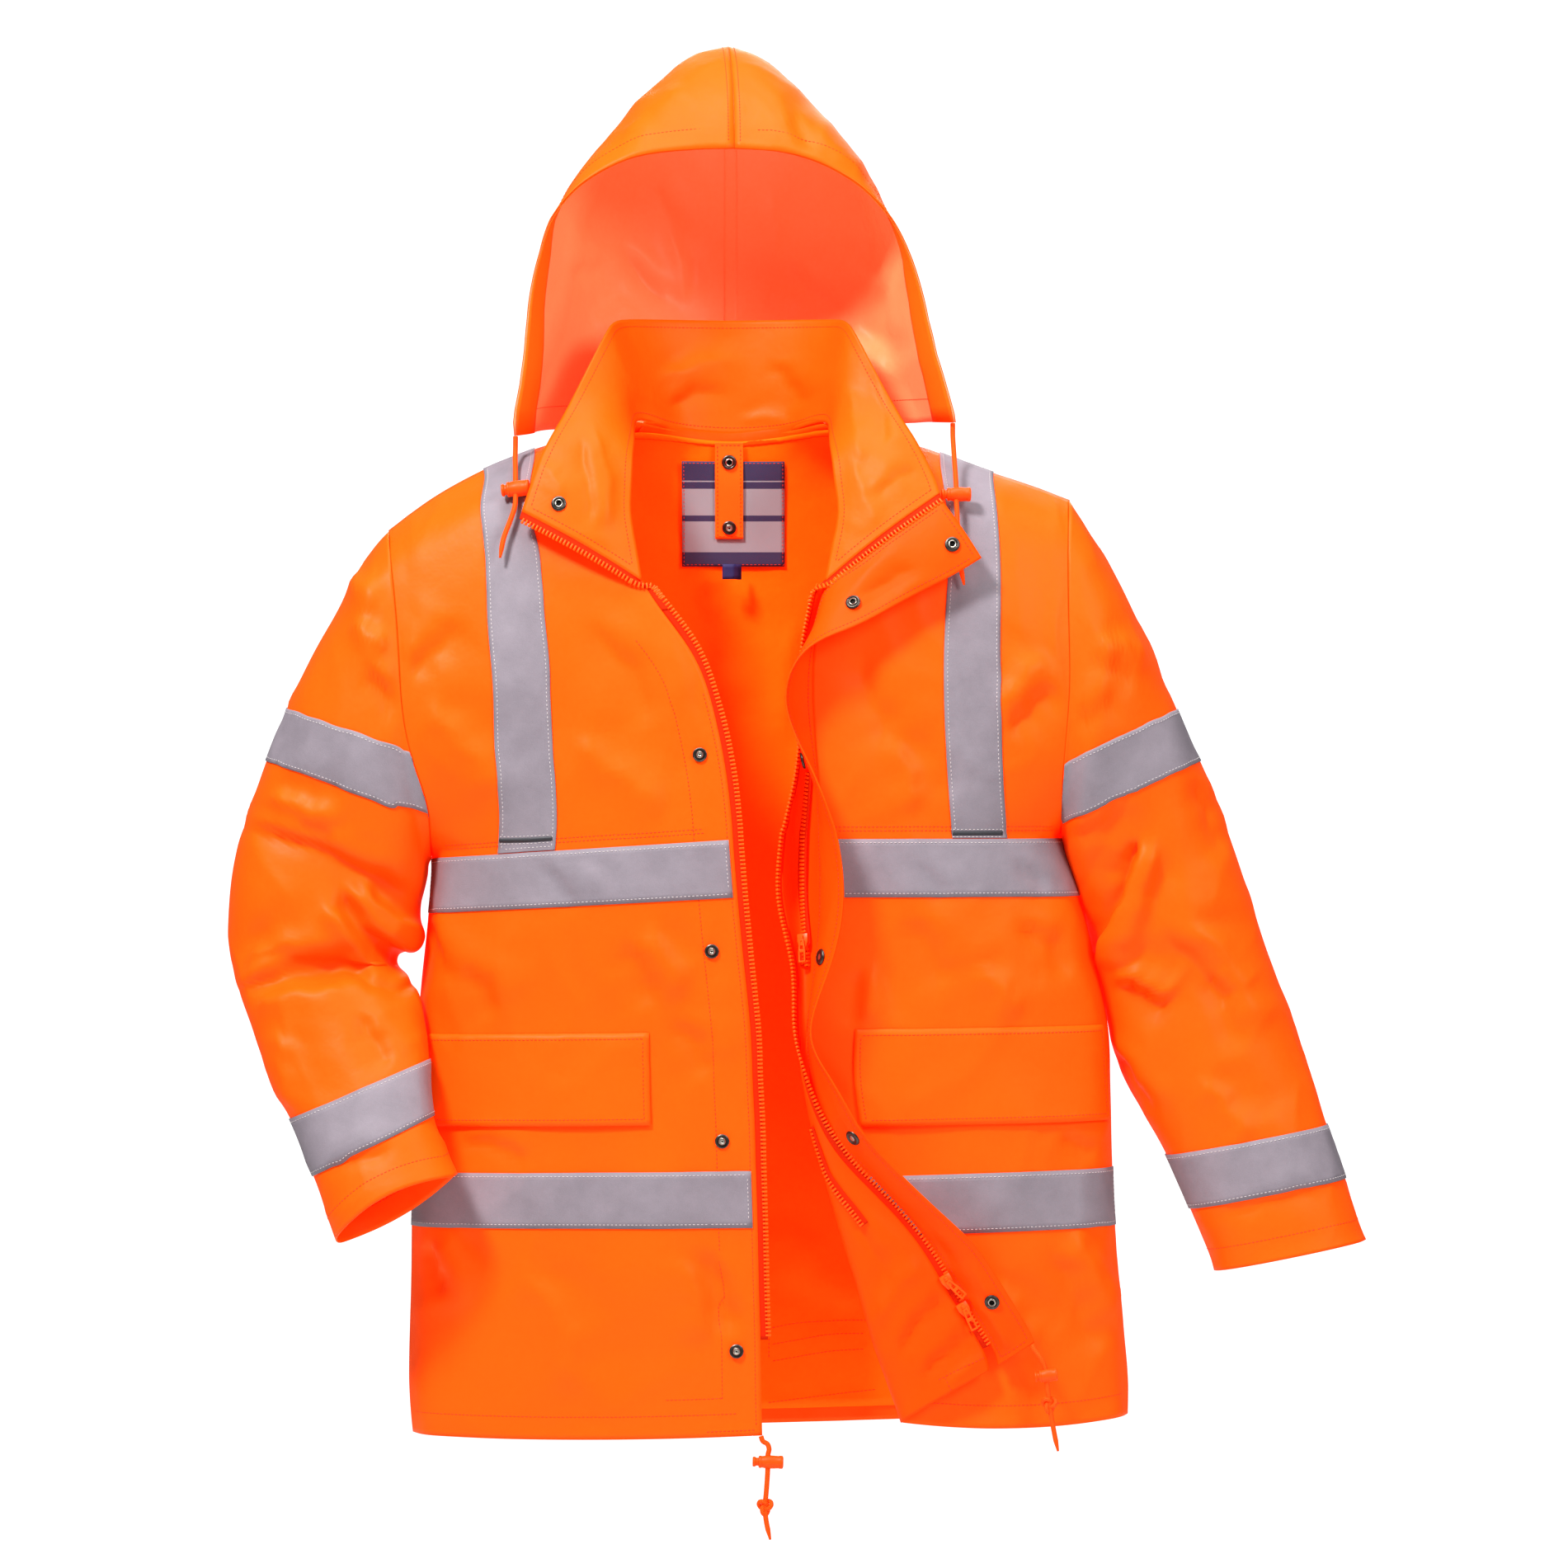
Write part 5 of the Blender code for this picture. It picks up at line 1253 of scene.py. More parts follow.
# %% [markdown]
# ## The neck seam
# Inside the neck the collar meets the lining, and a bias strip covers the seam. It runs from just
# above the collar's lower edge to just below the lining's top edge.

# %% Bias strip over the neck seam
STRIP_X = np.linspace(-84, 92, 60)
BELOW, ABOVE = 5, 9  # how far the strip reaches from the lining's top edge
NECK_COLUMNS = 7
strip_points = []
for x in STRIP_X:
    edge_z = max(p.z / MM for p in lining_ground.points if abs(p.x / MM - x) < 5)
    low, _ = lining_ground.from_front(x, edge_z - BELOW)
    seat = lining_ground.tree.find_nearest(Vector((x * MM, low.y, edge_z * MM)))[0]
    high, out = surfaces["collar"].at((x * MM, seat.y + 0.004, (edge_z + ABOVE) * MM))
    high = high - out * (SHELL + 0.4) * MM if out.y > 0 else high + out * 0.4 * MM
    low = low + Vector((0, -0.6 * MM, 0))
    for k in np.linspace(0, 1, NECK_COLUMNS):
        place = high.lerp(low, k)
        place.y -= 1.0 * MM * math.sin(math.pi * k)
        strip_points.append(place)
neck_strip = mesh_object(
    "neck_seam_strip", strip_points, grid_faces(len(STRIP_X), NECK_COLUMNS)
)
thicken(neck_strip, 0.5)
put_on(neck_strip)

# %% [markdown]
# ## Zips
# A zip is a woven tape whose free edge carries moulded teeth. The plain strips give each tape's
# place. Its cloth edge runs on under the panel. One tooth is modelled, a block with a wider nib,
# and copied along the edge at the real pitch.

# %% Editing a mesh face by face
scene.tool_settings.mesh_select_mode = (False, False, True)
mesh_ops = bpy.ops.mesh


def edit(made, chosen, *steps):
    """Selects the faces that a rule on their middle and normal picks, and runs edit steps."""
    mesh = made.data
    for part in (mesh.vertices, mesh.edges, mesh.polygons):
        part.foreach_set("select", [False] * len(part))
    for face in mesh.polygons:
        face.select = bool(chosen(face.center, face.normal))
    bpy.ops.object.select_all(action="DESELECT")
    made.select_set(True)
    bpy.context.view_layer.objects.active = made
    bpy.ops.object.mode_set(mode="EDIT")
    for operator, settings in steps:
        operator(**settings)
    bpy.ops.object.mode_set(mode="OBJECT")


def sized(x, y, z, about=(0, 0, 0)):
    """An edit step that scales about a place."""
    return bpy.ops.transform.resize, {"value": (x, y, z), "center_override": about}


def drawn_out(y):
    """An edit step that extrudes along Y."""
    return mesh_ops.extrude_region_move, {"TRANSFORM_OT_translate": {"value": (0, y, 0)}}


def bevelled(offset, segments=1):
    """An edit step that rounds edges."""
    return mesh_ops.bevel, {"offset": offset, "segments": segments, "affect": "EDGES"}


def everything(centre, normal):
    """The rule that picks every face."""
    return True


def block(x, y, z, *steps):
    """A box at the origin with nothing else selected, after some edit steps."""
    bpy.ops.object.select_all(action="DESELECT")
    mesh_ops.primitive_cube_add(size=1.0)
    made = bpy.context.object
    edit(made, everything, sized(x, y, z), *steps)
    return made


# %% One tooth, modelled at 1000 times its size
tooth = block(1.6, 3.4, 3.0)
narrowed = sized(1.3, 1, 0.9, (0, 2.05, 0)), drawn_out(1.1), sized(0.85, 1, 0.85, (0, 3.15, 0))
edit(tooth, lambda c, n: n.y > 0.9, drawn_out(0.35), *narrowed)
edit(tooth, everything, bevelled(0.18))
tooth.data.transform(Matrix.Diagonal((MM, MM, MM, 1)))
TOOTH = keep_mesh(tooth)
TOOTH_PITCH = 3.5
print("one tooth has", len(TOOTH[1]), "faces")

# %% Where a zip's tape runs
ZIP_THICK = 2.2
UNDER_CLOTH = 2.6
TEETH_AT = 5.8
ZIP_COLUMNS = (-UNDER_CLOTH, 0, 2.5, 5, 6.2)
INNER_COLUMNS = (-1.5, 1, 3.5, 6, 8.5)
LINER_COLUMNS = (-4, -1.5, 0, 1.5, 3)
ZIPS = {
    "zip_right": "front_right",
    "zip_left": "facing_left",
    "zip_right_collar": "collar",
    "zip_left_collar": "collar",
}


def strip_rows(node, ground, count):
    """Rows of a plain strip from top to bottom: its cloth edge, its free edge and its normal."""
    grid = wall_side(node, ZIP_THICK, Vector(FRONT))
    join_triangles(grid)
    rows = []
    for edge in grid.edges:
        if not edge.is_boundary or all(len(v.link_edges) == 2 for v in edge.verts):
            near, far = sorted(
                (v.co.copy() for v in edge.verts), key=lambda p: (ground.at(p)[0] - p).length
            )
            normal = sum((f.normal for f in edge.link_faces), Vector()).normalized()
            rows.append((*near, *far, *(normal * 0.02)))  # short, so it hardly counts as length
    grid.free()
    rows.sort(key=lambda row: -row[2] - row[5])
    fine = smooth_route(rows, count)
    return fine[:, :3], fine[:, 3:6], unit(fine[:, 6:])


# %% Its woven tape and its teeth
def zip_strip(name, near, far, normals, across):
    """A woven tape between two edges; across gives its columns in millimetres from the cloth."""
    run = np.concatenate([[0], np.cumsum(np.linalg.norm(np.diff(near, axis=0), axis=1))])
    out = unit(far - near)
    points = [
        near[i] + out[i] * k * MM - normals[i] * 0.7 * MM for i in range(len(near)) for k in across
    ]
    faces = [[a, d, c, b] for a, b, c, d in grid_faces(len(near), len(across))]
    places = (divmod(k, len(across)) for face in faces for k in face)
    uvs = [(across[column] * MM, run[row]) for row, column in places]
    made = mesh_object(name, points, faces, uvs)
    if made.data.polygons[0].normal.dot(Vector(normals[0])) < 0:
        made.data.flip_normals()
    thicken(made, 0.8)
    put_on(made)
    return made


def teeth_along(name, near, out, normals, at, shift=0.0):
    """Teeth on the free edge of a tape, all pointing outwards."""
    line = list(zip(near + out * at * MM - normals * 1.1 * MM, normals))
    if np.dot(np.cross(normals[0], line[1][0] - line[0][0]), out[0]) < 0:
        line = line[::-1]
    places = zip(*along_line(line, TOOTH_PITCH * MM))
    made = copies(name, TOOTH, [(c + a * shift * MM, n, a) for c, n, a in places])
    put_on(made)
    return made


# %% The front zip and its lengths on the collar
zip_tapes, zip_rows, zip_ends = {}, {}, {}


def add_zip(name, near, far, normals, toothed=slice(None)):
    """One side of a front zip: its woven tape, and teeth on the stretch that has them."""
    out = unit(far - near)
    zip_tapes[name] = zip_strip(f"{name}_weave", near, far, normals, ZIP_COLUMNS)
    stretch = near[toothed], out[toothed], normals[toothed]
    zip_rows[name] = teeth_along(f"{name}_teeth", *stretch, TEETH_AT)


for node, panel in ZIPS.items():
    rows = strip_rows(node, surfaces[panel], 140 if "collar" not in node else 40)
    add_zip(node, *rows)
    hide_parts(node)
    zip_ends[node] = rows

for node in ("zip_right", "zip_left"):
    upper, lower = zip_ends[f"{node}_collar"], zip_ends[node]
    gap = np.linalg.norm(upper[0][-1] - lower[0][0]) / MM
    ways = [np.array([u[-6], u[-1], l[0], l[5]]) for u, l in zip(upper, lower)]
    near, far, normals = (smooth_route(way, 40) for way in ways)
    add_zip(f"{node}_joint", near, far, unit(normals), slice(8, -8))
    print(f"{node}: {gap:.0f} mm joined")

# %% The inner zip and the teeth that hold the liner
near, far, normals = strip_rows("zip_inner", facing_ground, 50)
middle = (near + far) / 2
zip_tapes["zip_inner"] = zip_strip("zip_inner_weave", near, far, normals, INNER_COLUMNS)
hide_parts("zip_inner")
for name, way in (("a", 1), ("b", -1)):
    out = unit(far - near) * way
    shift = TOOTH_PITCH / 2 * (way < 0)
    rows = teeth_along(f"zip_inner_teeth_{name}", middle, out, normals, -1.1, shift)
    zip_rows[f"inner_{name}"] = rows

LINER_ROW = [(73.5, -584), (79, -602), (87, -625), (97, -641), (108, -655), (119, -669)]
line = line_from_front(facing_ground, LINER_ROW)
near = np.array([point + normal * 2.2 * MM for point, normal in line])
normals = np.array([normal for _, normal in line])
out = unit(np.cross(normals, np.gradient(near, axis=0)))
out = out if out[0][0] < 0 else -out
far = near + out * 4 * MM
zip_tapes["liner"] = zip_strip("zip_liner_weave", near, far, normals, LINER_COLUMNS)
zip_rows["liner"] = teeth_along("zip_liner_teeth", near, out, normals, 1.4)
print({name: len(made.data.polygons) for name, made in zip_rows.items()})

# %% [markdown]
# ## Sliders and pull tabs
# A slider is a wedge with a channel for the teeth on each side and a bridge on top. The pull tab
# hangs in the bridge and swings on it, so the tab rides on its own body and turns about the
# joint's axis. Both are modelled flat at the origin and then set in place.

# %% Slider body, bridge and tab
through = (mesh_ops.bridge_edge_loops, {})  # cuts a hole between two opposite faces
slider = block(10, 13, 4.4, (mesh_ops.subdivide, {"number_cuts": 1}))
edit(slider, lambda c, n: n.y < -0.9, sized(0.62, 1, 0.9, (0, -6.5, 0)))
channel = (mesh_ops.inset, {"thickness": 0.9, "use_boundary": True}), sized(0.72, 1, 1)
edit(slider, lambda c, n: abs(n.x) > 0.6, *channel)
edit(slider, everything, bevelled(0.35, 2))
SLIDER_BODY = keep_mesh(slider)

bridge = block(2.6, 9.0, 2.4, (mesh_ops.subdivide, {"number_cuts": 2}))
edit(bridge, lambda c, n: abs(n.x) > 0.9 and abs(c.y) < 2.0 and c.z < 0.9, through)
edit(bridge, everything, bevelled(0.2))
SLIDER_BRIDGE = keep_mesh(bridge)

tab = block(6.6, 20.6, 1.8, (mesh_ops.subdivide, {"number_cuts": 1}))
edit(tab, lambda c, n: n.y > 0.9, sized(0.62, 1, 1, (0, 10, 0)))
for half in (1, -1):
    window = (mesh_ops.inset, {"thickness": 1.5}), through
    edit(tab, lambda c, n: abs(n.z) > 0.9 and c.y * half > 0, *window)
edit(tab, everything, bevelled(0.3, 2))
PULL_TAB = keep_mesh(tab)
print([len(model[1]) for model in (SLIDER_BODY, SLIDER_BRIDGE, PULL_TAB)], "faces")


# %% Setting a model down
def set_down(name, model, centre, axes, node=None, body="jacket"):
    """A model in millimetres, placed by its middle and its three axes, riding on a body."""
    points, faces = model
    made = mesh_object(name, centre + points @ np.array(axes) * MM, faces)
    bpy.context.view_layer.objects.active = made
    made.select_set(True)
    bpy.ops.object.shade_smooth_by_angle(angle=math.radians(35))
    made.select_set(False)
    put_on(made, node, body)
    return made


def solid_axes(node):
    """The middle of a plain solid and its axes, from the longest to the shortest side."""
    points = np.unique(np.round(coords(nodes[node]), 6), axis=0)
    middle = (points.min(axis=0) + points.max(axis=0)) / 2
    centre = points.mean(axis=0)
    _, axes = np.linalg.eigh(np.cov((points - centre).T))
    return (centre if len(points) > 30 else middle), axes[:, ::-1].T


def right_handed(x, y, z):
    """X, or its opposite where that is what makes the three axes right-handed."""
    return x if np.dot(np.cross(x, y), z) > 0 else -x


# %% Sliders on their zips, and tabs on their hinges
hinges = {joint["child"]: joint for joint in frame["joints"]}
BRIDGE_AT, PULL_AT = 3.0, 9.3  # above the slider's middle, and down the tab from its hinge
painted = []
for name in ("main", "lower", "inner"):
    node = f"slider_{name}"
    centre, (down, across, away) = solid_axes(node)
    away = away if away[1] < 0 else -away
    up = down if down[2] > 0 else -down
    axes = (right_handed(across, up, away), up, away)
    painted.append(set_down(f"{node}_body", SLIDER_BODY, centre, axes, node))
    top = centre + away * BRIDGE_AT * MM
    painted.append(set_down(f"{node}_bridge", SLIDER_BRIDGE, top, axes))

    node = f"pull_tab_{name}"
    hinge = hinges[f"{node}_body"]
    place, axis = np.array(hinge["pos_m"]), unit(np.array(hinge["axis"]))
    along = solid_axes(node)[0] - place
    along = unit(along - axis * along.dot(axis))
    out = np.cross(axis, along)
    out = out if out[1] < 0 else -out
    axes = (right_handed(axis, -along, out), -along, out)
    centre = place + along * PULL_AT * MM
    painted.append(set_down(f"{node}_plate", PULL_TAB, centre, axes, node, f"{node}_body"))
print(len(painted), "painted pieces")

# %% [markdown]
# ## Snaps
# The front closes with snaps: a stud has a knob in a dished ring, and a socket has a hole in a
# rolled ring. The hole and the small dimple on the stud's knob are painted dark, as their shadow.
# Each is a profile spun round its axis. It is laid flat on its plain disc and faces away from the
# cloth.

# %% Spin a profile
def spun(profile, sides=32):
    """A closed round shape from a profile of (radius, height), spun about Z."""
    mesh = bpy.data.meshes.new("profile")
    edges = [(i, i + 1) for i in range(len(profile) - 1)]
    mesh.from_pydata([(r, 0, h) for r, h in profile], edges, [])
    made = bpy.data.objects.new("profile", mesh)
    scene.collection.objects.link(made)
    bpy.ops.object.select_all(action="DESELECT")
    made.select_set(True)
    bpy.context.view_layer.objects.active = made
    bpy.ops.object.mode_set(mode="EDIT")
    scene.tool_settings.mesh_select_mode = (True, False, False)
    mesh_ops.select_all(action="SELECT")
    mesh_ops.spin(steps=sides, angle=2 * math.pi, axis=(0, 0, 1), center=(0, 0, 0))
    mesh_ops.select_all(action="SELECT")
    mesh_ops.remove_doubles(threshold=0.001)
    mesh_ops.normals_make_consistent(inside=False)
    bpy.ops.object.mode_set(mode="OBJECT")
    scene.tool_settings.mesh_select_mode = (False, False, True)
    return keep_mesh(made)


# %% Stud, socket and cap
STUD = spun([
    (0, -1.1), (6.0, -1.1), (6.3, -0.7), (6.2, -0.1), (5.5, 0.35), (4.9, 0.2), (4.4, -0.4),
    (3.4, -0.5), (3.0, -0.2), (2.8, 1.2), (3.0, 1.7), (2.6, 2.1), (1.5, 2.2), (0.8, 1.8), (0, 1.7),
])
SOCKET = spun([
    (0, -1.1), (6.3, -1.1), (6.7, -0.6), (6.6, 0.3), (5.9, 0.9), (5.0, 1.0), (4.4, 0.5),
    (4.0, 0.4), (3.5, 1.1), (3.0, 1.3), (2.5, 1.1), (2.2, 0.2), (2.1, -0.6), (0, -0.7),
])
CAP = spun([
    (0, -1.1), (6.8, -1.1), (7.3, -0.6), (7.2, 0.2), (6.6, 0.9), (5.6, 1.2), (5.0, 1.0),
    (4.6, 0.7), (3.2, 0.6), (2.6, 0.8), (1.4, 0.95), (0, 1.0),
])
RINGS = {id(STUD): (0.9, 3.1), id(SOCKET): (2.3, 3.6), id(CAP): (0.0, 2.6)}  # hole, bright ring
UNDERSIDE = -0.9
SNAPS = {
    "snap_collar": SOCKET, "snap_flap_collar": SOCKET, "snap_flap_neck": SOCKET,
    "snap_flap_chest": CAP, "snap_flap_pocket": CAP, "snap_flap_waist": CAP,
    "snap_flap_hem": SOCKET, "snap_neck_upper": SOCKET, "snap_neck_lower": STUD,
}

# %% Set the snaps on their cloth
every_cloth = Surface(*skins.values(), neck_tab)
snaps = {}
for node in sorted(nodes):
    if not node.startswith("snap_"):
        continue
    centre, (x, y, z) = solid_axes(node)
    behind = every_cloth.at(centre)[0]
    z = z if np.dot(centre - np.array(behind), z) > 0 else -z
    model = SNAPS.get(node, STUD)
    made = set_down(f"{node}_metal", model, centre, (right_handed(x, y, z), y, z), node)
    # The hole and the stud's dimple take the painted shadow; the raised top within the ring takes
    # the bright metal
    hole, ring = RINGS[id(model)]
    for face, corners in zip(made.data.polygons, model[1]):
        radius, height = 0.0, 0.0
        for k in corners:
            radius += math.hypot(*model[0][k][:2]) / len(corners)
            height += model[0][k][2] / len(corners)
        if height > UNDERSIDE and radius < ring:
            face.material_index = 2 if radius < hole else 1
    snaps[node] = made
print(len(snaps), "snaps of", len(STUD[1]), "faces")

# %% [markdown]
# ## Cord locks
# A cord lock is a barrel with a sprung plunger. The cord runs through both, and squeezing the
# plunger lets it slide. The barrel is spun like the snaps and laid along its plain solid.

# %% Barrels
BARREL = spun([
    (0, -1), (0.62, -1), (0.74, -0.96), (0.76, -0.86), (0.68, -0.8), (0.6, -0.76), (0.6, -0.62),
    (0.84, -0.6), (0.92, -0.54), (0.92, -0.44), (0.86, -0.4), (0.9, -0.3), (0.98, -0.1), (1, 0.1),
    (0.97, 0.4), (0.93, 0.7), (0.98, 0.76), (0.98, 0.9), (0.9, 0.97), (0.6, 1), (0, 1),
])
toggles = {}
for name in CORDS:
    node = f"toggle_{name}"
    centre, axes = solid_axes(node)
    points = np.unique(np.round(coords(nodes[node]), 6), axis=0)
    spread = (points - centre) @ axes.T
    long_way = int(np.argmax(np.ptp(spread, axis=0)))
    length = np.ptp(spread[:, long_way]) / MM
    width = min(np.ptp(spread[:, k]) for k in range(3) if k != long_way) / MM
    middle = (spread.max(axis=0) + spread.min(axis=0)) / 2
    centre = centre + middle @ axes
    z = axes[long_way] if axes[long_way][0] > 0 else -axes[long_way]
    x, y = (axes[k] for k in range(3) if k != long_way)
    points, faces = BARREL
    model = points * (width / 2, width / 2, length / 2), faces
    axes = (right_handed(x, y, z), y, z)
    toggles[name] = set_down(f"{node}_barrel", model, centre, axes, node)
print({name: [round(k / MM) for k in made.dimensions] for name, made in toggles.items()})

# %% [markdown]
# ## The walls of the panels
# With everything laid on them, the panels get their thickness. The hood's inside is another
# finish, the coated back of the cloth, whose paler coral is partly a painted sheen, so its inner
# wall takes the second material slot.

# %% Thicken the panels
for node, skin in skins.items():
    inner_slot = 1 if node.startswith("hood") else 0
    for _ in range(2 * inner_slot):
        skin.data.materials.append(None)
    spare = 0.4 if PANELS[node] > 1.5 else 0.2  # keeps the inside clear of what lies there
    thicken(skin, PANELS[node] - spare, inner_slot)
    put_on(skin, node)
    print(node, len(skin.data.polygons), "faces")

# %% [markdown]
# ## Writing a finish
# Every finish is a Principled shader whose colour, roughness and normal come from a few nodes.
# The nodes could be wired one by one. Here a small class stands for a node's output, so that
# the maths of a weave or a wrinkle reads as maths, and one method adds any other node.

# %% A node's output that can be added and multiplied
class Value:
    """One number of a finish that changes over the surface."""

    def __init__(self, finish, socket):
        self.finish, self.socket = finish, socket

    def math(self, operation, *others):
        inputs = dict(enumerate((self, *others)))
        return self.finish.node("ShaderNodeMath", {"operation": operation}, inputs)

    def __add__(self, other):
        return self.math("ADD", other)

    def __mul__(self, other):
        return self.math("MULTIPLY", other)

    def __sub__(self, other):
        return self.math("SUBTRACT", other)

    def __rsub__(self, other):
        return self * -1.0 + other

    __radd__ = __add__
    __rmul__ = __mul__

    def sine(self):
        return self.math("SINE")


# %% A finish, which holds its nodes
class Finish:
    """A material built from Python, with its plain numbers set on the shader."""

    def __init__(self, name, **plain):
        self.material = bpy.data.materials.new(name)
        self.material.use_nodes = True
        self.tree = self.material.node_tree
        self.shader = self.tree.nodes["Principled BSDF"]
        for socket, value in plain.items():
            self.shader.inputs[socket.replace("_", " ")].default_value = value

    def node(self, kind, settings=None, inputs=None, output=0):
        made = self.tree.nodes.new(kind)
        for setting, value in (settings or {}).items():
            if setting == "stops":
                ramp = made.color_ramp
                while len(ramp.elements) < len(value):
                    ramp.elements.new(0.5)
                for element, (place, colour) in zip(ramp.elements, value):
                    element.position, element.color = place, (*colour, 1.0)
            elif setting == "steps":
                made.color_ramp.interpolation = value
            else:
                setattr(made, setting, value)
        for socket, value in (inputs or {}).items():
            if isinstance(value, Value):
                self.tree.links.new(value.socket, made.inputs[socket])
            else:
                made.inputs[socket].default_value = value
        return Value(self, made.outputs[output])

    def place(self):
        """The place on the object, in metres."""
        return self.node("ShaderNodeTexCoord", output="Object")

    def cloth_place(self):
        """U and V on the flat cloth, in metres."""
        uv = self.node("ShaderNodeUVMap", {"uv_map": "UVMap"})
        return [self.node("ShaderNodeSeparateXYZ", {}, {0: uv}, k) for k in (0, 1)]

    def cloud(self, where, scale, detail=3.0, roughness=0.55):
        """Soft noise from 0 to 1, about one swell in each 1 / scale metres."""
        inputs = {"Vector": where, "Scale": scale, "Detail": detail, "Roughness": roughness}
        return self.node("ShaderNodeTexNoise", {}, inputs)

    def mix(self, amount, first, second):
        """A colour between two."""
        first, second = ((*k, 1.0) if isinstance(k, tuple) else k for k in (first, second))
        inputs = {0: amount, 6: first, 7: second}
        return self.node("ShaderNodeMix", {"data_type": "RGBA"}, inputs, 2)

    def bump(self, height, strength, distance, under=None):
        """A normal from a height in 0 to 1, where 1 stands a distance in millimetres proud."""
        inputs = {"Height": height, "Strength": strength, "Distance": distance * MM}
        if under is not None:
            inputs["Normal"] = under
        return self.node("ShaderNodeBump", {}, inputs)

    def wire(self, **varying):
        for socket, value in varying.items():
            self.tree.links.new(value.socket, self.shader.inputs[socket.replace("_", " ")])
        return self.material


# %% [markdown]
# ## Hi-vis orange
# The shell is a woven polyester with a smooth coat. Its dye fluoresces: it turns part of the
# blue light into orange, so the cloth sends out more orange than a plain paint could. Emission of
# the same hue stands in for that, and it is also a painted glow that keeps the orange bright in
# shade and in the folds. Over it lie a fine weave, a slight pebble of the coat and broad, faint
# changes of tone.

# %% Coated cloth
# The emission of the orange finishes is a painted glow: it stands in for the dye's fluorescence
# and also lifts their shade
GLOW, GLOW_DEEP = (1.0, 0.03, 0.0005), (1.0, 0.015, 0.0)
WEAVE = 0.9  # one thread over and one under, in millimetres


def weave_height(finish, pitch=WEAVE):
    """Plain weave from the cloth's own U and V: threads in turn over and under."""
    u, v = finish.cloth_place()
    turns = 2 * math.pi / (pitch * MM)
    return (u * turns).sine() * (v * turns).sine() * 0.5 + 0.5


def orange_cloth(
    name, light, deep, glow, roughness, relief=1.0, pitch=WEAVE, hues=(GLOW_DEEP, GLOW), sheen=0.12
):
    """Coated cloth of two near tones, with weave, pebble and faint crumple."""
    made = Finish(name, Emission_Strength=glow, Specular_IOR_Level=sheen)
    where = made.place()
    broad = made.cloud(where, 5.0, 4.0)
    fine = made.cloud(where, 240.0, 2.0)
    crumple = made.cloud(where, 42.0, 3.0, 0.6)
    tone = broad * 0.75 + fine * 0.25
    colour = made.mix(tone, deep, light)
    height = made.bump(crumple, 0.35 * relief, 1.6)
    height = made.bump(fine, 0.22, 0.25, height)
    height = made.bump(weave_height(made, pitch), 0.3, 0.07, height)
    return made.wire(
        Base_Color=colour,
        Emission_Color=made.mix(tone, *hues),
        Roughness=fine * 0.14 + crumple * 0.1 + (roughness - 0.12),
        Normal=height,
    )


# %% The shell cloth and its relatives
LIGHT_ORANGE = (1.0, 0.125, 0.005)
DEEP_ORANGE = (1.0, 0.09, 0.002)
CORAL_GLOW, CORAL_GLOW_DEEP = (1.0, 0.17, 0.07), (1.0, 0.12, 0.03)
shell = orange_cloth("orange_shell", LIGHT_ORANGE, DEEP_ORANGE, 0.2, 0.46)
# A darker copy of the shell: painted shade for the facing, the storm flap and the neck strip
shell_painted_shade = orange_cloth(
    "orange_shell_painted_shade", (1.0, 0.09, 0.002), (1.0, 0.065, 0.001), 0.15, 0.5, 1.2, sheen=0.08
)
lining_cloth = orange_cloth(
    "orange_lining", (1.0, 0.2, 0.006), (1.0, 0.135, 0.002), 0.12, 0.5, 1.5, 0.6, sheen=0.05
)
# The coated back of the hood: a paler coral that is partly its own tone and partly painted sheen
hood_back_painted_sheen = orange_cloth(
    "coral_coated_back_and_painted_sheen", (1.0, 0.34, 0.18), (1.0, 0.26, 0.1), 0.3, 0.38, 1.3,
    hues=(CORAL_GLOW_DEEP, CORAL_GLOW), sheen=0.22,
)
trim_cloth = orange_cloth("orange_trim", (1.0, 0.17, 0.012), (1.0, 0.13, 0.006), 0.3, 0.5, 0.6)

# %% [markdown]
# ## Reflective tape
# The silver is a layer of tiny glass beads, which looks a flat lilac grey in soft light. Handling
# cracks and dulls it in faint cells. The bead layer is too fine to model, so it is a speckle.

# %% Tape
tape_silver = Finish("silver_tape", Specular_IOR_Level=0.3)
where = tape_silver.place()
speckle = tape_silver.cloud(where, 1500.0, 1.0)
handled = tape_silver.cloud(where, 28.0, 4.0, 0.62)
cells = tape_silver.node(
    "ShaderNodeTexVoronoi", {"feature": "DISTANCE_TO_EDGE"}, {"Vector": where, "Scale": 150.0}
)
tone = handled * 0.7 + speckle * 0.3
worn = tape_silver.mix(tone, (0.15, 0.128, 0.147), (0.31, 0.27, 0.305))
relief = tape_silver.bump(handled, 0.3, 1.0)
relief = tape_silver.bump(cells.math("MINIMUM", 0.08), 0.3, 1.2, relief)
relief = tape_silver.bump(speckle, 0.25, 0.12, relief)
roughness = handled * 0.2 + 0.55
tape_finish = tape_silver.wire(Base_Color=worn, Roughness=roughness, Normal=relief)

# %% [markdown]
# ## Thread, zip, cord, metal and label
# Small parts get the marks of how they are made: twisted thread, ribbed zip tape, moulded teeth,
# braided cord, blackened brass snaps and a woven label in bands without any lettering.

# %% Thread
def thread(name, colour):
    """Twisted thread."""
    made = Finish(name, Roughness=0.55)
    twist = made.cloud(made.place(), 2600.0, 1.0)
    darker = tuple(k * 0.7 for k in colour)
    tone = made.mix(twist, darker, colour)
    return made.wire(Base_Color=tone, Normal=made.bump(twist, 0.4, 0.1))


pale_thread = thread("pale_thread", (0.62, 0.56, 0.56))
# The orange thread is darker than the shell: partly its own tone and partly painted seam shadow
orange_thread_painted_shade = thread("orange_thread_painted_shade", (0.8, 0.035, 0.001))
dark_bar = thread("dark_bar", (0.035, 0.033, 0.04))

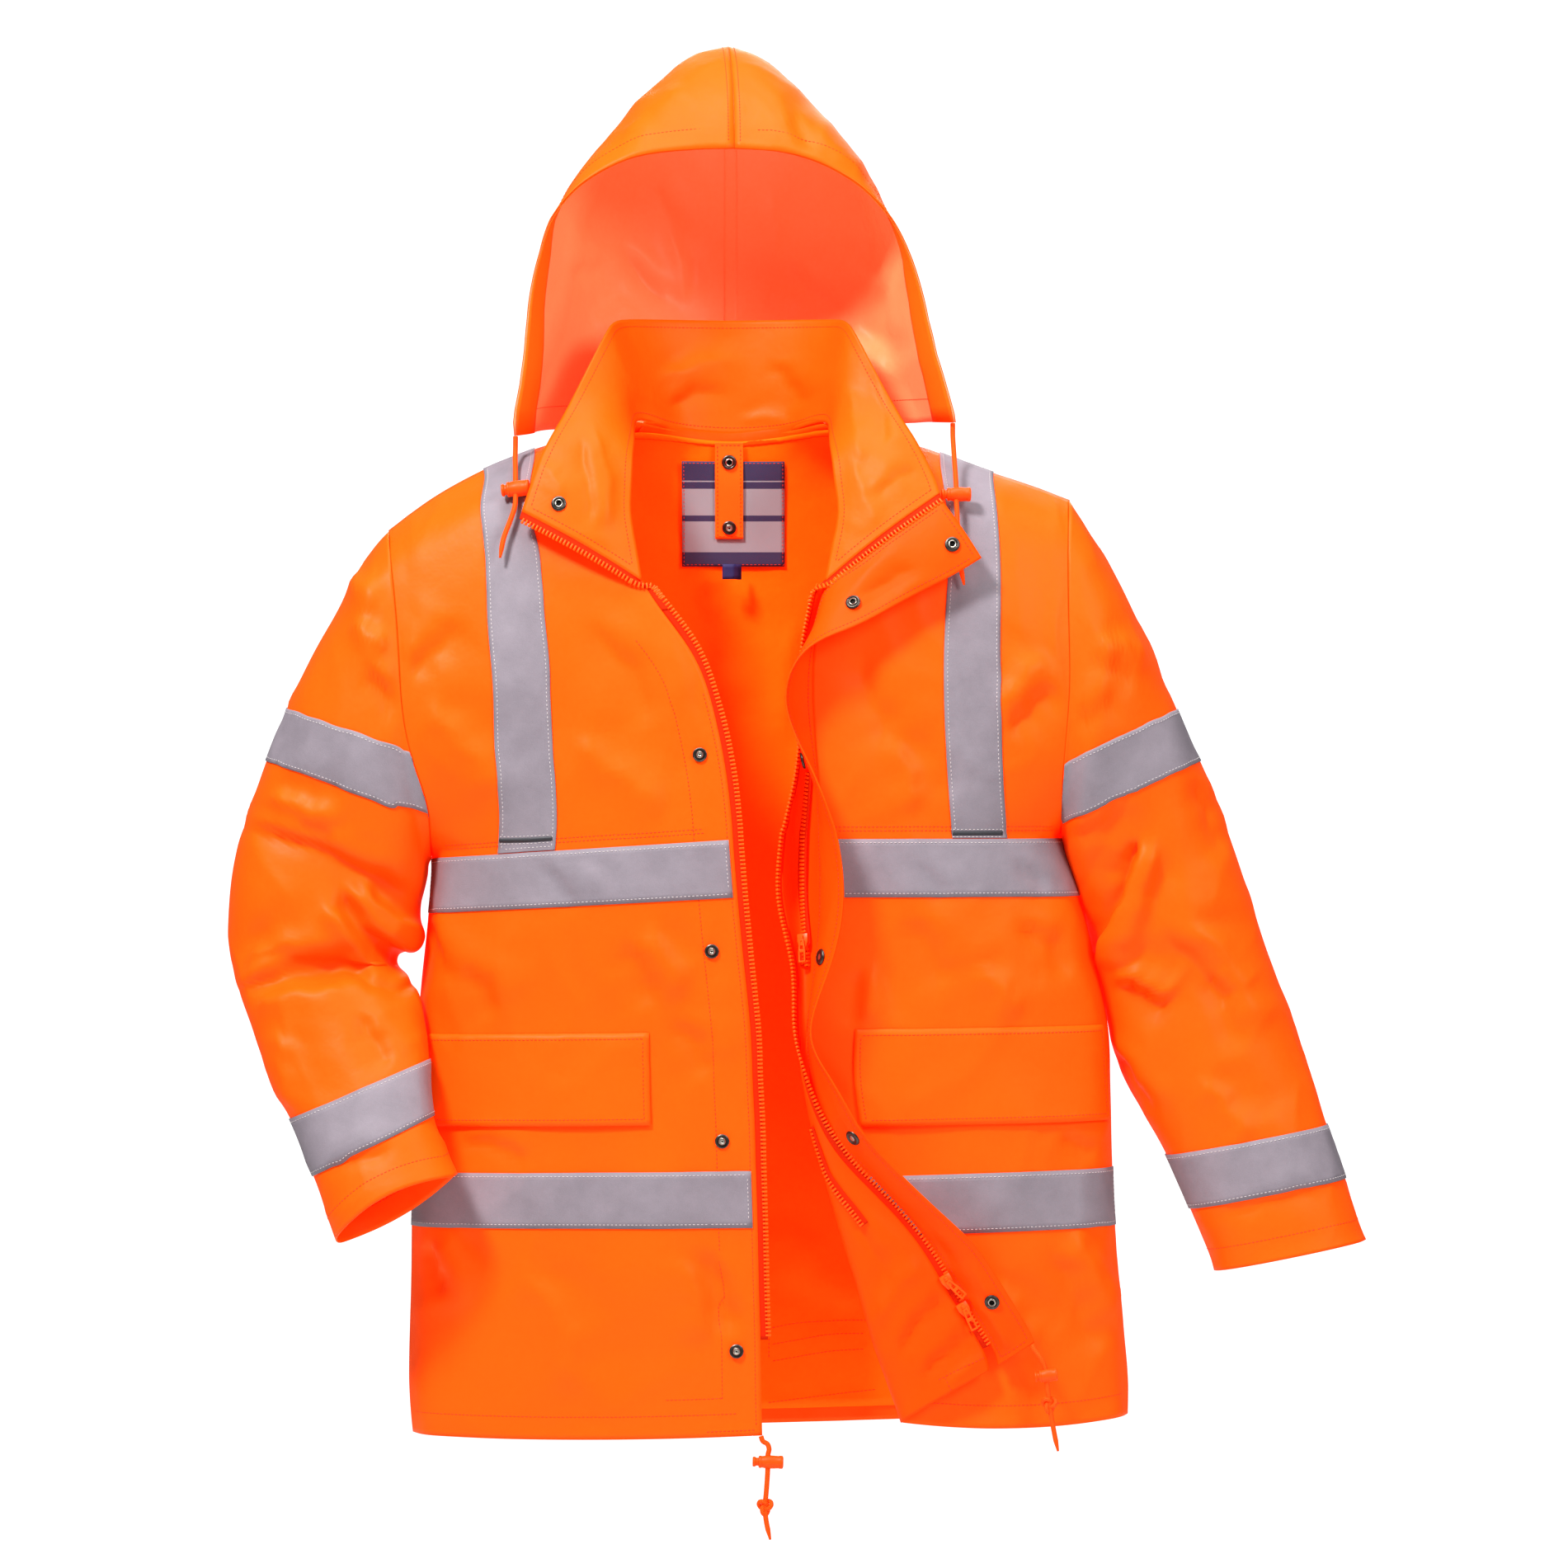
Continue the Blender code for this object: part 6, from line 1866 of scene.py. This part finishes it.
# %% Zip tape, moulded teeth and painted sliders
def moulded(name, colour, roughness, mottle=300.0, glow=0.18):
    """Orange plastic or paint with a slight unevenness and duller wear."""
    # The glow is a painted glow that lifts the plastic's shade
    made = Finish(name, Emission_Strength=glow, Specular_IOR_Level=0.2)
    grain = made.cloud(made.place(), mottle, 3.0)
    deep = tuple(k * f for k, f in zip(colour, (0.93, 0.72, 0.6)))
    tone = made.mix(grain, deep, colour)
    return made.wire(
        Base_Color=tone,
        Emission_Color=tone,
        Roughness=grain * 0.2 + (roughness - 0.1),
        Normal=made.bump(grain, 0.2, 0.15),
    )


zip_teeth = moulded("zip_teeth", (1.0, 0.115, 0.006), 0.42)
zip_paint = moulded("zip_paint", (1.0, 0.11, 0.008), 0.34)
toggle_plastic = moulded("toggle_plastic", (1.0, 0.085, 0.003), 0.45, 160.0)

# Its small emission is a painted glow that lifts the tape's shade
zip_weave = Finish("zip_tape", Roughness=0.7, Emission_Strength=0.05, Specular_IOR_Level=0.1)
u, v = zip_weave.cloth_place()
RIB, PICK = 1.1, 0.9  # one rib across the tape and one pick along it, in millimetres
turn = 2 * math.pi
ribs = ((u * (turn / (RIB * MM))).sine() + (v * (turn / (PICK * MM))).sine()) * 0.25 + 0.5
tone = zip_weave.mix(ribs, (0.55, 0.015, 0.001), (0.72, 0.032, 0.001))
relief = zip_weave.bump(ribs, 0.5, 0.15)
zip_tape = zip_weave.wire(Base_Color=tone, Emission_Color=tone, Normal=relief)

# %% Braided cord
# Its emission is a painted glow that lifts the cord's shade
braid = Finish("braided_cord", Roughness=0.6, Emission_Strength=0.15, Specular_IOR_Level=0.15)
u, v = braid.cloth_place()
STRANDS, LAY = 8.0, 5.0  # strands each way round the cord, and one turn along it in millimetres
round_it, along_it = u * (STRANDS * turn), v * (2 * turn / (LAY * MM))
plait = (round_it + along_it).sine().math("MAXIMUM", (round_it - along_it).sine()) * 0.5 + 0.5
tone = braid.mix(plait, (0.7, 0.025, 0.001), (1.0, 0.105, 0.005))
relief = braid.bump(plait, 0.7, 0.35)
cord_finish = braid.wire(Base_Color=tone, Emission_Color=tone, Normal=relief)

# %% Blackened and bright metal
def metal(name, colour, roughness):
    """Metal that handling has rubbed brighter in places."""
    made = Finish(name, Metallic=0.95)
    rub = made.cloud(made.place(), 420.0, 3.0)
    return made.wire(
        Base_Color=made.mix(rub, tuple(k * 0.6 for k in colour), colour),
        Roughness=rub * 0.25 + (roughness - 0.1),
        Normal=made.bump(rub, 0.15, 0.1),
    )


gunmetal = metal("gunmetal", (0.11, 0.095, 0.085), 0.36)
# The raised tops of the snaps take this brighter metal
bright_metal = metal("rubbed_metal", (0.5, 0.46, 0.4), 0.3)
# Painted shadow for the holes of the snaps
hole_painted_shadow = metal("socket_shadow", (0.02, 0.018, 0.017), 0.6)

# %% Woven label in bands
woven = Finish("woven_label", Roughness=0.72)
height = woven.node("ShaderNodeSeparateXYZ", {}, {0: woven.place()}, 2)
NAVY, FIELD = (0.009, 0.013, 0.085), (0.32, 0.37, 0.4)
BANDS = [  # from the lower edge up, in millimetres
    (-90.5, NAVY), (-78.0, FIELD), (-50.6, NAVY), (-45.2, FIELD), (-21.6, NAVY), (-15.8, FIELD),
    (-14.4, NAVY),
]
LOW, HIGH = -92.0, 4.0
banded = woven.node(
    "ShaderNodeValToRGB",
    {"stops": [((z - LOW) / (HIGH - LOW), colour) for z, colour in BANDS], "steps": "CONSTANT"},
    {0: (height + (-LOW * MM)) * (1 / ((HIGH - LOW) * MM))},
)
picks = weave_height(woven, 0.7)
shaded = woven.mix(picks * 0.35, banded, (0.2, 0.17, 0.2))
label_finish = woven.wire(Base_Color=shaded, Normal=woven.bump(picks, 0.5, 0.12))

navy = Finish("navy_tab", Roughness=0.7)
picks = weave_height(navy, 0.7)
tone = navy.mix(picks, NAVY, (0.03, 0.03, 0.14))
navy_finish = navy.wire(Base_Color=tone, Normal=navy.bump(picks, 0.5, 0.12))
print(len(bpy.data.materials), "finishes")

# %% [markdown]
# ## Dressing the pieces
# Each piece gets its finish by name. A hood half has two: the shell outside and the coated back
# inside, a coral that is partly painted sheen, which its wall already tells apart.

# %% Give every piece its finish
# The facing and the storm flap take the shell's darker copy, painted shade
FOLDED_IN = {"lining_back": lining_cloth, "facing_left": shell_painted_shade, "storm_flap": shell_painted_shade}
DRESSED = [(skins[node], shell, hood_back_painted_sheen) for node in ("hood_right", "hood_left")]
DRESSED += [
    (skin, FOLDED_IN.get(node, shell)) for node, skin in skins.items() if "hood" not in node
]
for pieces, *finishes in (
    (tapes, tape_finish), (flaps, shell), (zip_tapes, zip_tape), (zip_rows, zip_teeth),
    (toggles, toggle_plastic), (bars, dark_bar), (snaps, gunmetal, bright_metal, hole_painted_shadow),
):
    DRESSED += [(made, *finishes) for made in pieces.values()]
DRESSED += [(made, zip_paint) for made in painted]
DRESSED += [(made, cord_finish) for pieces in cord_pieces.values() for made in pieces]
DRESSED += [
    (made, pale_thread if "tape" in name else orange_thread_painted_shade) for name, made in stitched.items()
]
# The neck strip takes the shell's darker copy, painted shade
DRESSED += [
    (neck_tab, trim_cloth), (casing, trim_cloth), (seam_strip, hood_back_painted_sheen),
    (neck_strip, shell_painted_shade), (label, label_finish), (size_tab, navy_finish),
]
for made, *finishes in DRESSED:
    slots = made.data.materials
    for number, finish in enumerate(finishes):
        if number < len(slots):
            slots[number] = finish
        else:
            slots.append(finish)
print(len(DRESSED), "pieces dressed")

# %% [markdown]
# ## Light and floor
# A white studio: light from all round, a wide soft box above and in front, and a smaller one at
# the side that draws the creases out. The floor is a pale disc well below the hem.

# %% Light all round
AMBIENT = 0.21
world = bpy.data.worlds.new("studio")
scene.world = world
world.use_nodes = True
wires = world.node_tree
surround = wires.nodes["Background"]
white = wires.nodes.new("ShaderNodeBackground")
for background in (surround, white):
    background.inputs["Color"].default_value = (1.0, 1.0, 1.0, 1.0)
surround.inputs["Strength"].default_value = AMBIENT
seen = wires.nodes.new("ShaderNodeLightPath")
either = wires.nodes.new("ShaderNodeMixShader")
wires.links.new(seen.outputs["Is Camera Ray"], either.inputs["Fac"])
wires.links.new(surround.outputs[0], either.inputs[1])
wires.links.new(white.outputs[0], either.inputs[2])
wires.links.new(either.outputs[0], wires.nodes["World Output"].inputs["Surface"])
scene.view_settings.view_transform = "Standard"
scene.view_settings.look = "Medium High Contrast"

# %% Soft boxes
SOFT_BOXES = {  # place, aim, size and watts
    "key": ((-1.8, -2.6, 2.9), (0.05, 0.0, -0.25), 0.8, 225.0),
    "overhead": ((0.2, -0.6, 3.0), (0.05, 0.0, -0.1), 1.6, 72.0),
    "fill": ((2.3, -2.9, 1.5), (0.05, 0.0, -0.3), 1.4, 72.0),
    "behind": ((0.3, 3.4, 2.0), (0.05, 0.1, -0.3), 2.0, 50.0),
}
for name, (place, aim, size, watts) in SOFT_BOXES.items():
    bpy.ops.object.light_add(type="AREA", location=place)
    lamp = bpy.context.object
    lamp.name = f"soft_box_{name}"
    lamp.data.energy = watts
    lamp.data.size = size
    lamp.rotation_euler = (Vector(aim) - Vector(place)).to_track_quat("-Z", "Y").to_euler()

# %% Floor
bpy.ops.object.select_all(action="DESELECT")
FLOOR_PLACE, FLOOR_RADIUS = (0.05, 0, -1.5), 3.0
mesh_ops.primitive_circle_add(
    vertices=96, radius=FLOOR_RADIUS, fill_type="NGON", location=FLOOR_PLACE
)
floor = bpy.context.object
floor.name = "studio_floor"
bpy.ops.object.transform_apply(location=True, rotation=True, scale=True)
floor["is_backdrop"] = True
pale = Finish("studio_floor", Roughness=0.8)
mottle = pale.cloud(pale.place(), 3.0, 3.0)
floor.data.materials.append(pale.wire(Base_Color=pale.mix(mottle, (0.83,) * 3, (0.88,) * 3)))

# %% [markdown]
# ## Cloth, and the size
# The last cells work out the flat size that each sheet of cloth was cut to, and its area. The two
# boxes are kept so that the dressed jacket's size can be compared with the plain one's.

# %% Cords
for name, pieces in cord_pieces.items():
    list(pieces[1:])

# %% Sheets of cloth
ON_BODICE = ["back_cloth", "front_right_cloth", "front_left_cloth"]
SEWN_TO = {  # what each cloth hangs from or lies on
    "front_right": ["back_cloth"], "front_left": ["back_cloth"], "collar": ON_BODICE,
    "sleeve_right": ON_BODICE, "sleeve_left": ON_BODICE, "hood_right": ["collar_cloth"],
    "hood_left": ["collar_cloth"], "storm_flap": ["front_left_cloth"],
    "facing_left": ["front_left_cloth"], "lining_back": ["back_cloth"],
}


def declare(made, rests_on=(), size=None):
    """Works out the flat size that a piece's cloth was cut to, and its area."""
    width, length, area = cuts[made.name]
    if size is not None:
        width, length = size
    area = min(area, width * length)
    flat = (width * MM, length * MM)
    area * MM**2


for node, skin in skins.items():
    zips = [made for name, made in zip_tapes.items() if ZIPS.get(name) == node]
    declare(skin, SEWN_TO.get(node, ()))
for node, strip in tapes.items():
    size = (TAPE_WIDTH, cuts[strip.name][2] / TAPE_WIDTH) if "upper" in node else None
    declare(strip, [f"{panel}_cloth" for panel in TAPES[node]], size)
for node, flap in flaps.items():
    declare(flap, [node.replace("pocket_flap", "front") + "_cloth"])
declare(label, ["lining_back_cloth"])
declare(neck_tab, ["lining_back_cloth"])
declare(casing, ["hood_right_cloth", "hood_left_cloth"])
print(len(cuts), "sheets of cloth")

# %% Size
visual_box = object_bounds()
for low_or_high, cad, visual in zip(("low", "high"), cad_box, visual_box):
    print(low_or_high, [round((b - a) / MM, 1) for a, b in zip(cad, visual)], "mm apart")
